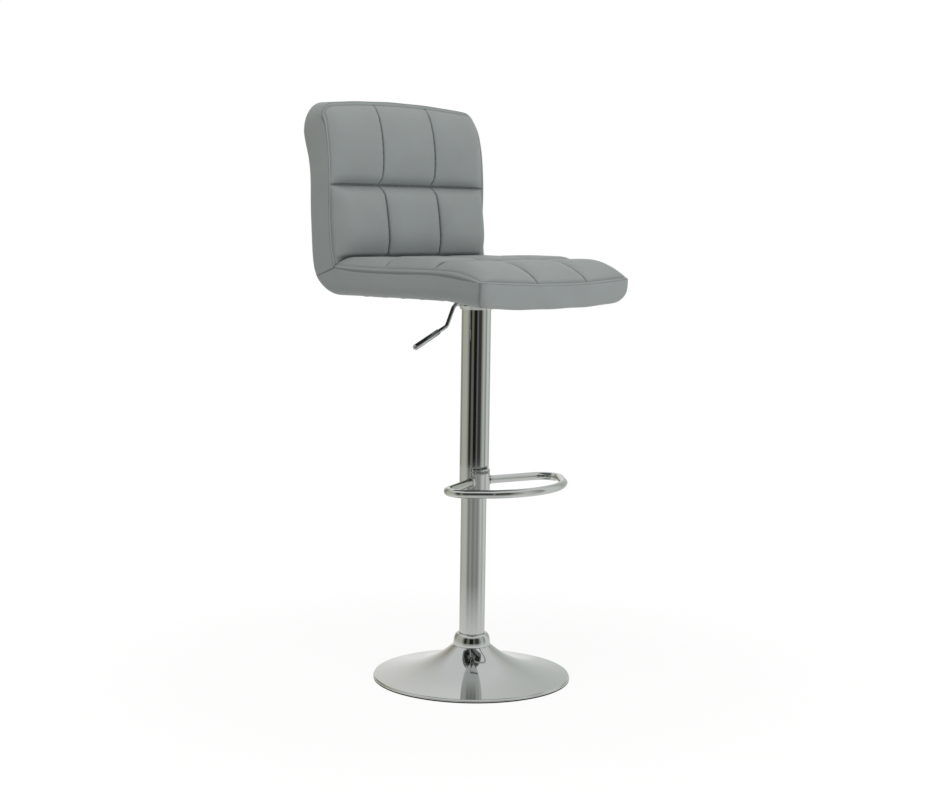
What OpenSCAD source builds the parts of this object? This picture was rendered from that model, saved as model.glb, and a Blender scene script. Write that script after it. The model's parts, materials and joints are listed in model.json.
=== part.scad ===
// Bar stool with a trumpet base, a gas lift, a looped footrest and a quilted low-back seat.
// Drawn fully raised. The floor is Z = 0, the column is the Z axis and the seat faces -Y,
// so the release lever is on -X, the right hand of the person on the stool.

/* [Base] */
// Diameter of the base over its rim
base_d = 385; // [340:1:440]
// Height of the rim's upper edge above the floor
rim_h = 5; // [4.5:0.1:8]
// Height of the rubber ring that the rim stands on
edge_ring_h = 2.6; // [1.6:0.1:3.2]
// Width of the rubber ring, measured along the radius
edge_ring_w = 9; // [5:0.5:14]
// Thickness of the pressed steel dish
dish_t = 2; // [1.2:0.1:2.4]
// Rise of the flat part of the dish for each unit of radius
dish_slope_share = 0.13; // [0.08:0.01:0.2]
// Height that the flare at the middle adds
flare_h = 40; // [30:1:60]
// Distance over which the flare dies away
flare_run = 50; // [35:1:70]
// Radius at the top of the dish
neck_r = 38; // [36:0.5:44]
// Diameter of the steel ballast disc inside the base
weight_d = 330; // [260:1:340]
// Height of the ballast disc's underside above the floor
weight_z = 3; // [1.5:0.1:4]
// Diameter of the ring that covers the joint of the base and the column
trim_ring_d = 72.5; // [70:0.5:78]
// Height of that ring
trim_ring_h = 24; // [16:0.5:32]
// Wall of that ring at its upper edge
trim_edge_t = 2; // [1:0.1:3]

/* [Column] */
// Outer diameter of the fixed column
column_d = 50; // [46:0.5:52]
// Wall of the fixed column
column_wall = 2; // [1.5:0.1:3]
// Diameter of the flange at the foot of the column
flange_d = 120; // [110:1:140]
// Thickness of that flange
flange_t = 6; // [4:0.5:8]
// Circle of the bolts that hold the flange to the ballast
base_bolt_circle_d = 90; // [84:1:96]
// Diameter of those bolts
base_bolt_d = 8; // [6:0.5:10]
// Length of the guide bush in the top of the column
guide_bush_len = 70; // [40:1:90]
// Thickness of the guide bush's collar
bush_collar_t = 3; // [2:0.5:5]

/* [Gas lift] */
// Travel of the seat from its lowest to its highest position
stroke = 215; // [160:1:225]
// Diameter of the piston rod
rod_d = 10; // [8:0.5:12]
// Outer diameter of the gas cylinder
cylinder_d = 28; // [27:0.5:30]
// Wall of the gas cylinder
cylinder_wall = 2; // [1.5:0.1:2.5]
// Length of the cylinder's tapered end
taper_len = 36; // [28:1:40]
// Loss of radius along that taper
taper_drop = 1; // [0.5:0.1:1.4]
// Length of the sealing guide at the cylinder's lower end
rod_guide_len = 24; // [16:1:32]
// Height of the piston head
piston_h = 12; // [8:1:18]
// Diameter of the release pin
pin_d = 6.4; // [5:0.1:8]
// Height of the rubber buffer
buffer_h = 16; // [10:1:24]
// Diameter of the bearing balls
ball_d = 5; // [4:0.5:6]
// Number of bearing balls
ball_count = 10; // [6:1:12]

/* [Sleeve and footrest] */
// Outer diameter of the sleeve that hangs from the seat
sleeve_d = 57; // [56:0.5:64]
// Wall of the sleeve
sleeve_wall = 1.5; // [1.2:0.1:2]
// Length of the sleeve
sleeve_len = 361; // [330:1:400]
// Gap between the sleeve and the trim ring when the seat is lowest
lowered_gap = 57; // [20:1:90]
// Length of the glide bush in the sleeve's lower end
glide_bush_len = 30; // [20:1:45]
// Diameter of the footrest tube
foot_tube_d = 16; // [15:0.5:20]
// Height of the footrest's centre above the sleeve's lower end
foot_rise = 29; // [25:0.5:60]
// Height of the saddle plate above the sleeve's lower end
saddle_rise = 3; // [2:0.5:8]
// Height of the curved saddle plate itself
saddle_h = 49; // [40:1:52]
// Thickness of the saddle plate
saddle_t = 2.5; // [2:0.1:4]
// Half of the angle that the saddle plate covers
saddle_half_angle = 64; // [60:1:75]
// Angle from the front at which each arm leaves the saddle
arm_angle = 60; // [50:1:60]
// Straight length of each arm
arm_len = 103; // [90:1:130]
// Angle by which the arms lean to the front
arm_lean_angle = 18; // [10:0.5:22]
// Bend radius at the widest corners
wide_corner_r = 34; // [24:1:40]
// Turn of the widest corners
wide_corner_angle = 116; // [95:0.5:120]
// Straight length between the corners at each side
side_len = 46.5; // [30:0.5:60]
// Bend radius at the front corners
front_corner_r = 39; // [30:1:60]
// Turn of the front corners
front_corner_angle = 10; // [8:0.5:30]

/* [Mechanism] */
// Side of the square steel plate under the seat
plate_side = 140; // [130:1:150]
// Thickness of that plate
plate_t = 2.5; // [2:0.1:4]
// Distance of the seat bolts from the column's axis along each side
seat_bolt_offset = 50; // [48:1:56]
// Diameter of the seat bolts
seat_bolt_d = 8; // [6:0.5:9]
// Depth of the pressed cup between the plate and the sleeve
cup_depth = 26.2; // [22:0.1:32]
// Radius of the cup at the sleeve
cup_low_r = 31; // [30.5:0.1:33]
// Radius of the cup at the plate
cup_high_r = 43; // [41:0.5:46]
// Wall of the cup
cup_t = 2; // [1.5:0.1:2.5]
// Length of the tapered socket that holds the cylinder
socket_len = 40; // [38:1:44]
// Wall of the socket at its lower end
socket_wall = 4; // [3:0.5:6]

/* [Lever] */
// Diameter of the lever's rod
lever_d = 7.5; // [6:0.5:8]
// Height of the lever's rod above the cup's underside
lever_rise = 12; // [11:0.5:14]
// Distance of the lever's pivot from the column's axis
lever_pivot_x = 28; // [26:0.5:30]
// Distance from the axis to the lever's first bend
lever_exit_len = 59; // [50:1:75]
// Length of the short piece in the bend
lever_bend_len = 10.3; // [6:0.1:16]
// Downward angle of that short piece
lever_bend_angle = 39; // [30:1:50]
// Length of the steep piece
lever_drop_len = 39; // [30:1:50]
// Downward angle of the steep piece
lever_drop_angle = 62; // [50:1:75]
// Length of the handle
lever_handle_len = 98; // [80:1:120]
// Downward angle of the handle
lever_handle_angle = 22.8; // [10:0.1:35]
// Diameter of the grip on the handle
grip_d = 10.5; // [9.5:0.1:14]
// Length of the grip
grip_len = 73; // [50:1:76]

/* [Seat] */
// Width of the seat and the back
seat_w = 440; // [400:1:470]
// Distance from the axis to the front seam at the corners
front_reach = 204; // [190:1:220]
// Bow of the front edge
front_bow = 12; // [4:1:20]
// Rounding of the front corners in plan
front_corner_round = 16; // [8:1:30]
// Distance from the axis to the inner corner of seat and back
corner_reach = 167; // [160:1:185]
// Thickness of the seat at the inner corner
seat_thick = 51; // [48:1:60]
// Drop of the seat's seam from the inner corner to the front corners
seam_drop = 16; // [4:1:20]
// Further drop of the front seam at its middle
front_dip = 8.5; // [2:0.5:12]
// Height of the sewn channels above the side seams
channel_rise = 12; // [6:0.5:18]
// Width of the rounded border along the side seams
side_roll = 32; // [20:1:45]
// Width of the rounded border along the front seam
front_roll = 80; // [50:1:100]
// Crown of each panel of the seat
seat_crown = 13; // [4:0.5:16]
// Share of that crown in the front row
front_crown_share = 0.7; // [0.4:0.05:1]
// Share of that crown in the rear row
rear_crown_share = 0.75; // [0.5:0.05:1]
// Width over which a crown rises from the stitches beside the side seams
edge_roll = 40; // [25:1:60]
// Width over which a panel rises from a sewn channel
panel_roll = 35; // [20:1:60]
// Drop of the seat's front lip at the middle
lip_drop = 15.5; // [6:0.5:22]
// Drop of the front lip at its corners
lip_corner_drop = 8; // [2:0.5:12]
// Distance of the lip's lower edge behind the front seam
lip_set_back = 8; // [0:0.5:14]
// Length of the front lip under the seat
lip_len = 70; // [50:1:72]
// Rounding of the seat's lower edges and the back's rear edges
edge_round = 22; // [12:1:26]

/* [Back] */
// Height of the back above the inner corner, at its sides
back_h = 305; // [260:1:340]
// Arch of the back's top edge
back_arch = 12; // [4:1:20]
// Rounding of the back's upper corners
back_corner_round = 29; // [15:1:50]
// Share of that rounding at the rear of the side
rear_round_share = 0.4; // [0:0.05:1]
// Thickness of the back
back_thick = 68; // [60:1:76]
// Set back of the back's top from its lower end
back_lean = 29; // [16:1:34]
// Hollow of the back across its width
back_dish = 10; // [2:0.5:14]
// Crown of each panel in the lower row of the back
back_crown = 32; // [16:1:36]
// Share of that crown in the upper row
upper_crown_share = 0.49; // [0.3:0.01:1]
// Share of the crown that stays over the upright channels
valley_share = 0.7; // [0.3:0.05:0.9]
// Depth of the level channel between the two rows of the back
row_dip = 11; // [4:0.5:14]
// Outer radius of the bend between seat and back
bend_r = 70; // [66:1:76]

/* [Boards] */
// Thickness of the moulded plywood
ply_t = 11; // [9:0.5:12]
// Distance from the side of the seat to the plywood
ply_inset = 32; // [26:1:40]
// Padding between the plywood and the outside of the cover
ply_cover = 3; // [2.5:0.1:3.5]
// Distance from the axis to the plywood's front edge
ply_front = 180; // [160:1:185]
// Height of the plywood's lower upright stretch, from the end of the bend
ply_rear_h = 150; // [120:1:160]
// Set back over that stretch
ply_lower_lean = 2.5; // [0:0.5:6]
// Height of the plywood's upper stretch
ply_lean_h = 96; // [60:1:110]
// Set back over the upper stretch
ply_upper_lean = 8.5; // [4:0.5:12]
// Thickness of the dust cover
dust_t = 0.6; // [0.4:0.1:0.6]
// Lap of the dust cover over the turned-in cover
dust_lap = 5; // [3:0.5:8]
// Width of the cover that is turned in under the plywood
turn_in = 30; // [25:1:40]

/* [Clearances] */
// Gap of a running fit
run_gap = 0.06; // [0.02:0.01:0.1]
// Gap between pieces that are fixed together
fixed_gap = 0.1; // [0.05:0.01:0.2]
// Play beside moving pieces
side_play = 0.3; // [0.2:0.05:0.5]
// Gap around soft pieces
soft_gap = 0.4; // [0.3:0.05:0.6]

/* [Hidden] */
$fn = 72;

// Base heights and radii
base_r = base_d / 2;
column_r = column_d / 2;
column_bore_r = column_r - column_wall;
rod_r = rod_d / 2;
neck_z = dish_z(neck_r);
trim_ring_top = neck_z + trim_ring_h;
weight_r = weight_d / 2;
weight_top = dish_z(weight_r) - dish_slope(weight_r) * dish_t - dish_t - soft_gap;
dish_steps = 26;
over = 5; // run of a cut past the face that it opens

// Column foot, from the flange upwards
end_plate_t = 4;
clip_room = 11; // height kept free under the end plate
end_plate_z = weight_top + clip_room;
race_t = 1.5;
race_side_gap = 2;
race_r = column_bore_r - race_side_gap;
race_bore_r = rod_r + race_side_gap;
lower_race_z = end_plate_z + end_plate_t;
ball_z = lower_race_z + race_t + run_gap + ball_d / 2;
cage_t = 0.6 * ball_d;
ball_circle_r = (race_bore_r + race_r) / 2;
upper_race_z = ball_z + ball_d / 2 + run_gap;
buffer_z = upper_race_z + race_t;
buffer_top = buffer_z + buffer_h;
buffer_r = 11;
clip_t = 1.2;
clip_r = 8.5;
clip_groove = 0.8;
rod_end_z = end_plate_z - side_play - clip_t - 3.5 * clip_t;
bolt_proud = 2; // length of the bolts above the flange

// Lift heights at the highest position
sleeve_r = sleeve_d / 2;
sleeve_bore_r = sleeve_r - sleeve_wall;
sleeve_z = trim_ring_top + lowered_gap + stroke;
cup_z = sleeve_z + sleeve_len;
plate_z = cup_z + cup_depth;
board_z = plate_z + plate_t + fixed_gap;
socket_top = cup_z + cup_t;
socket_z = socket_top - socket_len;
column_top_gap = 5;
column_top = socket_z - stroke - column_top_gap - bush_collar_t;
cylinder_r = cylinder_d / 2;
cylinder_bore_r = cylinder_r - cylinder_wall;
cylinder_z = buffer_top + stroke + side_play;
cylinder_top = cup_z - 1.5 * fixed_gap;
cylinder_lip_t = 2;
cylinder_head_t = 12;
pin_r = pin_d / 2;
guide_z = cylinder_z + cylinder_lip_t + fixed_gap;
piston_z = guide_z + rod_guide_len + cylinder_lip_t;
rod_top = piston_z + piston_h;
socket_r = cylinder_r + socket_wall;
spigot_len = 8;

// Lever points in the XZ plane, as distances to the person's right and heights
lever_r = lever_d / 2;
lever_z = cup_z + lever_rise;
lever_tip_in = pin_r;
lever_p1 = [-lever_exit_len, lever_z];
lever_p2 = lever_p1 + lever_bend_len * [-cos(lever_bend_angle), -sin(lever_bend_angle)];
lever_p3 = lever_p2 + lever_drop_len * [-cos(lever_drop_angle), -sin(lever_drop_angle)];
lever_dir = [-cos(lever_handle_angle), -sin(lever_handle_angle)];
lever_p4 = lever_p3 + lever_handle_len * lever_dir;
grip_start = lever_handle_len - grip_len;
pivot_r = 1.5;
ear_t = 2;
ear_y = lever_r + side_play;
ear_half_w = 3 * pivot_r;
pin_top = lever_z - lever_r - side_play;
window_half_w = 10;
window_low = lever_z - lever_r - 3 * side_play;

// Footrest path in plan, from an arm to the middle of the front, with headings turning clockwise
foot_z = sleeve_z + foot_rise;
foot_r = foot_tube_d / 2;
saddle_in_r = sleeve_r + fixed_gap;
saddle_r = saddle_in_r + saddle_t;
arm_head = -arm_lean_angle;
side_head = arm_head - wide_corner_angle;
front_head = side_head - front_corner_angle;
foot_p0 = saddle_r * [sin(arm_angle), -cos(arm_angle)];
foot_p1 = foot_p0 + arm_len * heading(arm_head);
foot_c1 = foot_p1 + wide_corner_r * right_of(arm_head);
foot_p2 = foot_c1 - wide_corner_r * right_of(side_head);
foot_p3 = foot_p2 + side_len * heading(side_head);
foot_c2 = foot_p3 + front_corner_r * right_of(side_head);
foot_p4 = foot_c2 - front_corner_r * right_of(front_head);
front_turn = 180 + front_head;
front_arc_r = foot_p4[0] / sin(front_turn);
foot_c3 = foot_p4 + front_arc_r * right_of(front_head);
foot_sides = 24;
wide_corner_steps = 13;
front_corner_steps = 5;
front_arc_steps = 8;

// Seat and back outlines, as shares of the sizes above that they follow
half_w = seat_w / 2;
underside_z = board_z - ply_cover;
corner_z = underside_z + seat_thick;
panels_across = 3;
back_row_shares = [0, 0.508, 1];
panel_shares = [0, 0.04, 0.14, 0.5, 0.86, 0.96];
back_panel_shares = [0, 0.06, 0.16, 0.38, 0.62, 0.84, 0.95];
nip_share = 0.07; // place in the back's lower row up to which it rises behind the seat's crown
nip_run_share = 0.14; // place in that row from which its crown is whole
puff_power = 7;
stitch_set_back = 5.6;
peak_shares = [0.4, 0.5]; // place of the crown's peak in each row of the back
arch_power = 0.6;
row_dip_run = 10;
top_power = 4; // the arch and the rounded corners of the back's top fade downwards with this power
seam_shares = [[0, 0], [0.085, 0.38], [0.26, 0.97], [0.345, 1.08], [0.52, 0.82], [0.83, 0.54], [1, 1]];
back_front_shares = [[0, 0], [0.1, 0.2], [0.3, 0.37], [0.52, 0.35], [0.72, 0.48], [0.86, 0.69], [1, 1.03]];
back_rear_shares = [
    [0, -0.35], [0.06, -0.08], [0.16, 0.1], [0.36, 0.24], [0.58, 0.32],
    [0.72, 0.5], [0.86, 0.82], [0.95, 0.94], [1, 0.9]
];
miter_y = back_rear_y(0);
bend_run_share = 0.83; // share of the bend that lies under the seat
bend_c = [miter_y - bend_run_share * bend_r, underside_z + bend_r];
miter_z = underside_z + under_turn_z(miter_y);
level_z = corner_z + channel_rise;
back_top_z = corner_z + back_h;
seat_len = corner_reach + front_reach;
draw_in = 3; // waist of the cushions halfway along
band_swell = 2.5;
nose_swell = 4;
front_round_factor = 1.8;
top_swell = 5;
front_nose_shares = [[0.4, 1], [0.8, 0.8], [0.95, 0.4]]; // shares kept of the ring and of the swell
top_nose_shares = [[0.92, 0.4], [0.78, 0.75], [0.4, 1]];
ply_bend_r = bend_r - 1.35 * ply_cover;
ply_bend_c = [bend_c[0] - 0.65 * ply_cover, board_z + ply_bend_r];
ply_half_w = half_w - ply_inset;
lip_y = mix(-front_reach, miter_y, lip_len / seat_len);
opening_half_w = ply_half_w - turn_in / 2;
opening_front = -lip_y - dust_lap;
opening_rear = bend_c[0] - dust_lap;
dust_half_w = opening_half_w + 2 * dust_lap;
dust_front = opening_front + dust_lap / 2;
dust_rear = opening_rear + dust_lap;
plate_margin = 5; // width of the hole in the dust cover beside the plate
t_nut_r = 5.2;
t_nut_flange_r = 10;
t_nut_flange_t = 1.2;
washer_t = 1;
washer_r = 8.5;
bolt_head_r = 7;
bolt_head_t = 4.5;
staple_size = [11, 1.3, 0.6];
staples_across = 7;
staples_along = 5;
staple_reach_share = 0.88;

function heading(a) = [cos(a), sin(a)];
function right_of(a) = [sin(a), -cos(a)];
function flare(r) = exp(-(r - neck_r) / flare_run);
function dish_z(r) = rim_h + dish_slope_share * (base_d / 2 - r) + flare_h * flare(r);
function dish_slope(r) = dish_slope_share + flare_h / flare_run * flare(r);
function dish_normal(r) = [dish_slope(r), 1] / norm([dish_slope(r), 1]);
function mix(a, b, t) = a + (b - a) * t;

// Value of a curve through a table of [place, value] shares, smooth between its rows
function curve(table, t, i = 0) =
    i >= len(table) - 2 || t <= table[i + 1][0]
    ? hermite(table, max(min(t, 1), 0), i)
    : curve(table, t, i + 1);
function slope_at(table, i) =
    let (a = max(i - 1, 0), b = min(i + 1, len(table) - 1))
    (table[b][1] - table[a][1]) / (table[b][0] - table[a][0]);
function hermite(table, t, i) =
    let (
        p = table[i], q = table[i + 1], w = q[0] - p[0], s = (t - p[0]) / w,
        s2 = s * s, s3 = s2 * s
    )
    p[1] * (2 * s3 - 3 * s2 + 1) + slope_at(table, i) * w * (s3 - 2 * s2 + s)
    + q[1] * (3 * s2 - 2 * s3) + slope_at(table, i + 1) * w * (s3 - s2);

// Swell of one quilted panel, 0 at its sewn edges and 1 at its middle
function puff(q) = sqrt(max(0, 1 - pow(abs(2 * q - 1), puff_power)));
function row_of(t, rows) =
    let (last = len(rows) - 2)
    min([for (k = [0:last]) if (t <= rows[k + 1] || k == last) k]);
function panel_place(t, rows) = let (i = row_of(t, rows)) (t - rows[i]) / (rows[i + 1] - rows[i]);
third_shares = [for (i = [0:panels_across]) i / panels_across];
function roll(d, width, power) = 1 - pow(1 - min(1, max(0, d) / width), power);
function quarter_rise(d, run) = sqrt(1 - pow(1 - min(1, d / run), 2));
function side_rise(u) = quarter_rise(half_w * (1 - abs(u)), side_roll);
function channel_hill(u) = quarter_rise(half_w * abs(abs(u) - 1 / panels_across), panel_roll);
function edge_hill(u) = sin(90 * min(1, max(0, half_w * (1 - abs(u)) - stitch_set_back) / edge_roll));
function rounding(u, r) = let (d = max(0, abs(u) * half_w - half_w + r)) r - sqrt(max(0, r * r - d * d));

// Places of the rings along a cushion, each panel divided alike
function stations(rows, shares) = [
    for (i = [0:len(rows) - 2]) for (q = shares) mix(rows[i], rows[i + 1], q),
    1
];
back_shares = stations(back_row_shares, back_panel_shares);
back_stations = [
    for (i = [0:len(back_shares) - 1])
        i == 1 ? back_row_shares[1] * nip_share : back_shares[i]
];
across_shares = [for (t = stations(third_shares, panel_shares)) 2 * t - 1];
band_angles = [0, 30, 60];
band_points = 1 + len(band_angles);

// A side band, from its seam to the rounding at its far edge, with that rounding grown by a factor.
// An entry is [share of the half width, share of the thickness, share of the band's swell].
function band(thick, side, grow) =
    let (r = grow * edge_round)
    concat(
        [[side, 0.5 - 0.5 * r / thick, 1]],
        [for (a = band_angles)
            [side * (1 - r / half_w * (1 - cos(a))), 1 - r / thick * (1 - sin(a)), 1 - a / 60]]
    );

// Each ring runs over the top, down one side band, back underneath and up the other band
function ring_shares(thick, grow = 1) =
    let (other = band(thick, -1, grow), flat = 1 - grow * edge_round / half_w)
    concat(
        [for (u = across_shares) [u, 0, 0]],
        band(thick, 1, grow),
        [for (u = across_shares) [-u * flat, 1, 0]],
        [for (i = [band_points - 1:-1:0]) other[i]]
    );

function edge_x(u, v, r) =
    let (waist = sin(180 * v))
    u * (half_w - draw_in * waist) + sign(u) * r[2] * band_swell * waist;
function front_y(u) = -front_reach - front_bow * (1 - u * u) + rounding(u, front_corner_round);
function inner_y(u) = corner_reach + back_dish * (1 - u * u);
function seam_z(v) = corner_z - seam_drop * (1 - curve(seam_shares, v));
function lip_z(u, v) =
    underside_z - max(0, 1 - v * seat_len / lip_len)
    * (lip_corner_drop + (lip_drop - lip_corner_drop) * (1 - pow(abs(u), 3)));
function under_turn_z(y) =
    y < bend_c[0] ? 0 : bend_r - sqrt(max(0, bend_r * bend_r - pow(y - bend_c[0], 2)));
function crown_share(v, rows, shares) = shares[row_of(v, rows)] * puff(panel_place(v, rows));
seat_crown_shares = [front_crown_share, 1, rear_crown_share];
back_crown_shares = [1, upper_crown_share];

// Height of the seat's top at a share of the half width and a share of the length
function seat_top_z(u, v) =
    let (front = roll(v * seat_len, front_roll, 1.7))
    seam_z(v) + (level_z - seam_z(v)) * side_rise(u) * front - front_dip * (1 - u * u) * (1 - front)
    + seat_crown * channel_hill(u) * edge_hill(u) * crown_share(v, third_shares, seat_crown_shares);

// Growth of the lower edges' rounding towards the front corners
function front_growth(v) = 1 + (front_round_factor - 1) * max(0, 1 - v * seat_len / front_roll);

// Point of the seat cushion at a place along it and an entry of the ring
function seat_point(v, r) =
    let (
        u = r[0], w = r[1], e = w > 0 ? sign(u) : u,
        y_in = mix(front_y(e), inner_y(e), v),
        y_out = mix(front_y(u) + lip_set_back, miter_y, v),
        z_out = lip_z(u, v) + under_turn_z(y_out)
    )
    [edge_x(u, v, r), mix(y_in, y_out, w), mix(seat_top_z(e, v), z_out, w)];

function back_rear_y(t) = corner_reach + back_thick + back_lean * curve(back_rear_shares, t);
function back_front_y(u, v) =
    let (
        flange = stitch_set_back / back_h,
        rows = [back_row_shares[0], back_row_shares[1], 1 - flange],
        row = row_of(v, rows),
        q = min(1, panel_place(v, rows)),
        peak = peak_shares[row],
        x = q > peak ? (q - peak) / (1 - peak) : (peak - q) / peak,
        nip = row == 0 ? pow(min(1, q / nip_run_share), 2) : 1,
        crown = back_crown * back_crown_shares[row] * pow(max(0, 1 - x * x), arch_power) * nip,
        dip = row_dip * exp(-pow((v - rows[1]) * back_h / row_dip_run, 2))
    )
    inner_y(u) + back_lean * curve(back_front_shares, v)
    - edge_hill(u) * (crown * mix(channel_hill(u), 1, valley_share) - dip);

// Point of the back cushion, with the same kind of places
function back_point(v, r) =
    let (
        u = r[0], w = r[1], e = w > 0 ? sign(u) : u,
        high = pow(v, top_power),
        arch = back_arch * (1 - u * u) * high,
        flat = 1 - edge_round / half_w,
        rear_drop = rounding(min(1, abs(u) / flat), back_corner_round) * rear_round_share,
        rise = channel_rise * side_rise(e) * pow(1 - v, top_power),
        z_in = mix(corner_z, back_top_z, v) + rise + arch - rounding(e, back_corner_round) * high,
        z_out = mix(miter_z, back_top_z, v) + arch - rear_drop * high
    )
    [edge_x(u, v, r), mix(back_front_y(e, v), back_rear_y(v), w), mix(z_in, z_out, w)];

// A ring made thinner along one axis and pushed along another, to close an end with a round nose
function nose(ring, kept, thin_axis, push) =
    let (c = middle(ring))
    [for (p = ring)
        let (fade = 1 - pow(min(1, abs(p[0]) / half_w), 12))
        [for (k = [0:2]) k == thin_axis ? mix(c[k], p[k], kept) : p[k] + push[k] * fade]];
function middle(ring) = [for (k = [0:2]) sum([for (p = ring) p[k]]) / len(ring)];
function sum(list, i = 0) = i < len(list) ? list[i] + sum(list, i + 1) : 0;

// Closed skin of triangles over a list of rings that all have the same even number of points.
// Each end is closed by pairs of points to both sides of the point named first.
module skin_over(rings, first = 0) {
    n = len(rings[0]);
    last = (len(rings) - 1) * n;
    walls = [
        for (j = [0:len(rings) - 2]) for (i = [0:n - 1])
            let (a = j * n + i, b = j * n + (i + 1) % n)
            each [[a, b, b + n], [a, b + n, a + n]]
    ];
    ends = [
        for (i = [0:n / 2 - 2])
            let (a = (first + i) % n, b = (a + 1) % n, c = (first + 2 * n - 1 - i) % n, d = (c + n - 1) % n)
            each [[b, a, c], [b, c, d], [last + c, last + a, last + b], [last + d, last + c, last + b]]
    ];
    points = [for (ring = rings) for (p = ring) p];
    polyhedron(points, [for (f = concat(walls, ends)) [f[2], f[1], f[0]]], convexity = 6);
}

module ring(outer_r, inner_r, z, h) {
    translate([0, 0, z])
    difference() {
        cylinder(r = outer_r, h = h);
        translate([0, 0, -over]) cylinder(r = inner_r, h = h + 2 * over);
    }
}

module around(count, radius, first = 0) {
    for (i = [0:count - 1])
        rotate([0, 0, first + 360 / count * i]) translate([radius, 0, 0]) children();
}

module four_corners(offset_xy) {
    for (x = [-1, 1]) for (y = [-1, 1]) translate([x * offset_xy, y * offset_xy, 0]) children();
}

// Base

module base_dish() {
    radii = [for (i = [0:dish_steps]) mix(neck_r, base_r, i / dish_steps)];
    outside = [for (r = radii) [r, dish_z(r)]];
    inside = [for (i = [dish_steps - 1:-1:0]) outside[i] - dish_t * dish_normal(radii[i])];
    lip_r = column_r + 2 * fixed_gap;
    color([0.8, 0.81, 0.82])
    rotate_extrude($fn = 144)
    polygon(concat(
        outside,
        [[base_r, edge_ring_h], [base_r - dish_t, edge_ring_h]],
        inside,
        [[lip_r, neck_z - dish_t], [lip_r, neck_z]]
    ));
}

module base_edge_ring() {
    color([0.1, 0.1, 0.1]) ring(base_r - 4 * fixed_gap, base_r - edge_ring_w, 0, edge_ring_h, $fn = 144);
}

module base_bolt_cuts(gap) {
    bolt_r = base_bolt_d / 2;
    around(4, base_bolt_circle_d / 2, 45)
    translate([0, 0, weight_z]) {
        cylinder(r1 = 2 * bolt_r + gap, r2 = bolt_r + gap, h = bolt_r);
        cylinder(r = bolt_r + gap, h = weight_top - weight_z + flange_t + bolt_proud);
    }
}

module base_weight() {
    color([0.22, 0.23, 0.24])
    difference() {
        translate([0, 0, weight_z]) cylinder(r = weight_r, h = weight_top - weight_z, $fn = 120);
        base_bolt_cuts(fixed_gap);
    }
}

module column_flange() {
    color([0.45, 0.46, 0.47])
    difference() {
        ring(flange_d / 2, column_r + fixed_gap, weight_top, flange_t);
        base_bolt_cuts(fixed_gap);
    }
}

module base_bolts() {
    color([0.6, 0.6, 0.58]) base_bolt_cuts(0);
}

module column_tube() {
    color([0.8, 0.81, 0.82]) {
        difference() {
            translate([0, 0, weight_top]) cylinder(r = column_r, h = column_top - weight_top);
            translate([0, 0, lower_race_z]) cylinder(r = column_bore_r, h = column_top);
            translate([0, 0, weight_top - over])
                cylinder(r = column_bore_r, h = end_plate_z - weight_top + over);
            translate([0, 0, end_plate_z - over])
                cylinder(r = rod_r + run_gap, h = end_plate_t + 2 * over);
        }
    }
}

module column_trim_ring() {
    steps = 10;
    mouth_r = column_r + trim_edge_t;
    swell = trim_ring_d / 2 - mouth_r;
    color([0.8, 0.81, 0.82])
    rotate_extrude($fn = 96)
    polygon(concat(
        [[column_r + fixed_gap, trim_ring_top], [column_r + fixed_gap, neck_z]],
        [for (i = [0:steps])
            let (a = 90 / steps * i)
            [mouth_r + swell * cos(a), neck_z + trim_ring_h * sin(a)]]
    ));
}

module column_guide_bush() {
    color([0.12, 0.12, 0.13])
    difference() {
        union() {
            translate([0, 0, column_top - guide_bush_len])
                cylinder(r = column_bore_r - fixed_gap, h = guide_bush_len);
            translate([0, 0, column_top]) cylinder(r = column_r - fixed_gap, h = bush_collar_t);
        }
        translate([0, 0, column_top - guide_bush_len - over])
            cylinder(r = cylinder_r + run_gap, h = guide_bush_len + bush_collar_t + 2 * over);
    }
}

// Swivel bearing and piston rod

module bearing_lower_race() {
    color([0.62, 0.63, 0.65]) ring(race_r, race_bore_r, lower_race_z, race_t);
}

module bearing_cage() {
    color([0.75, 0.7, 0.5])
    difference() {
        ring(race_r - 1.5 * race_t, race_bore_r + race_t, ball_z - cage_t / 2, cage_t);
        around(ball_count, ball_circle_r)
            translate([0, 0, ball_z - ball_d]) cylinder(d = ball_d + 2 * fixed_gap, h = 2 * ball_d);
    }
}

module bearing_balls() {
    color([0.7, 0.71, 0.73])
    around(ball_count, ball_circle_r) translate([0, 0, ball_z]) sphere(d = ball_d, $fn = 32);
}

module bearing_upper_race() {
    color([0.62, 0.63, 0.65]) ring(race_r, rod_r + fixed_gap, upper_race_z, race_t);
}

module rubber_buffer() {
    color([0.1, 0.1, 0.1]) ring(buffer_r, rod_r + fixed_gap, buffer_z, buffer_h);
}

module piston_rod() {
    color([0.78, 0.79, 0.8])
    difference() {
        translate([0, 0, rod_end_z]) cylinder(r = rod_r, h = rod_top - rod_end_z);
        translate([0, 0, end_plate_z - side_play - clip_t - fixed_gap])
        difference() {
            cylinder(r = rod_r + over, h = clip_t + 2 * fixed_gap);
            translate([0, 0, -over]) cylinder(r = rod_r - clip_groove, h = clip_t + 2 * over);
        }
    }
}

module rod_clip() {
    color([0.35, 0.36, 0.38])
    ring(clip_r, rod_r - clip_groove + fixed_gap / 2, end_plate_z - side_play - clip_t, clip_t);
}

module piston_head() {
    color([0.3, 0.3, 0.32]) ring(cylinder_bore_r - run_gap, rod_r + fixed_gap, piston_z, piston_h);
}

// Gas cylinder and what holds it

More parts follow.
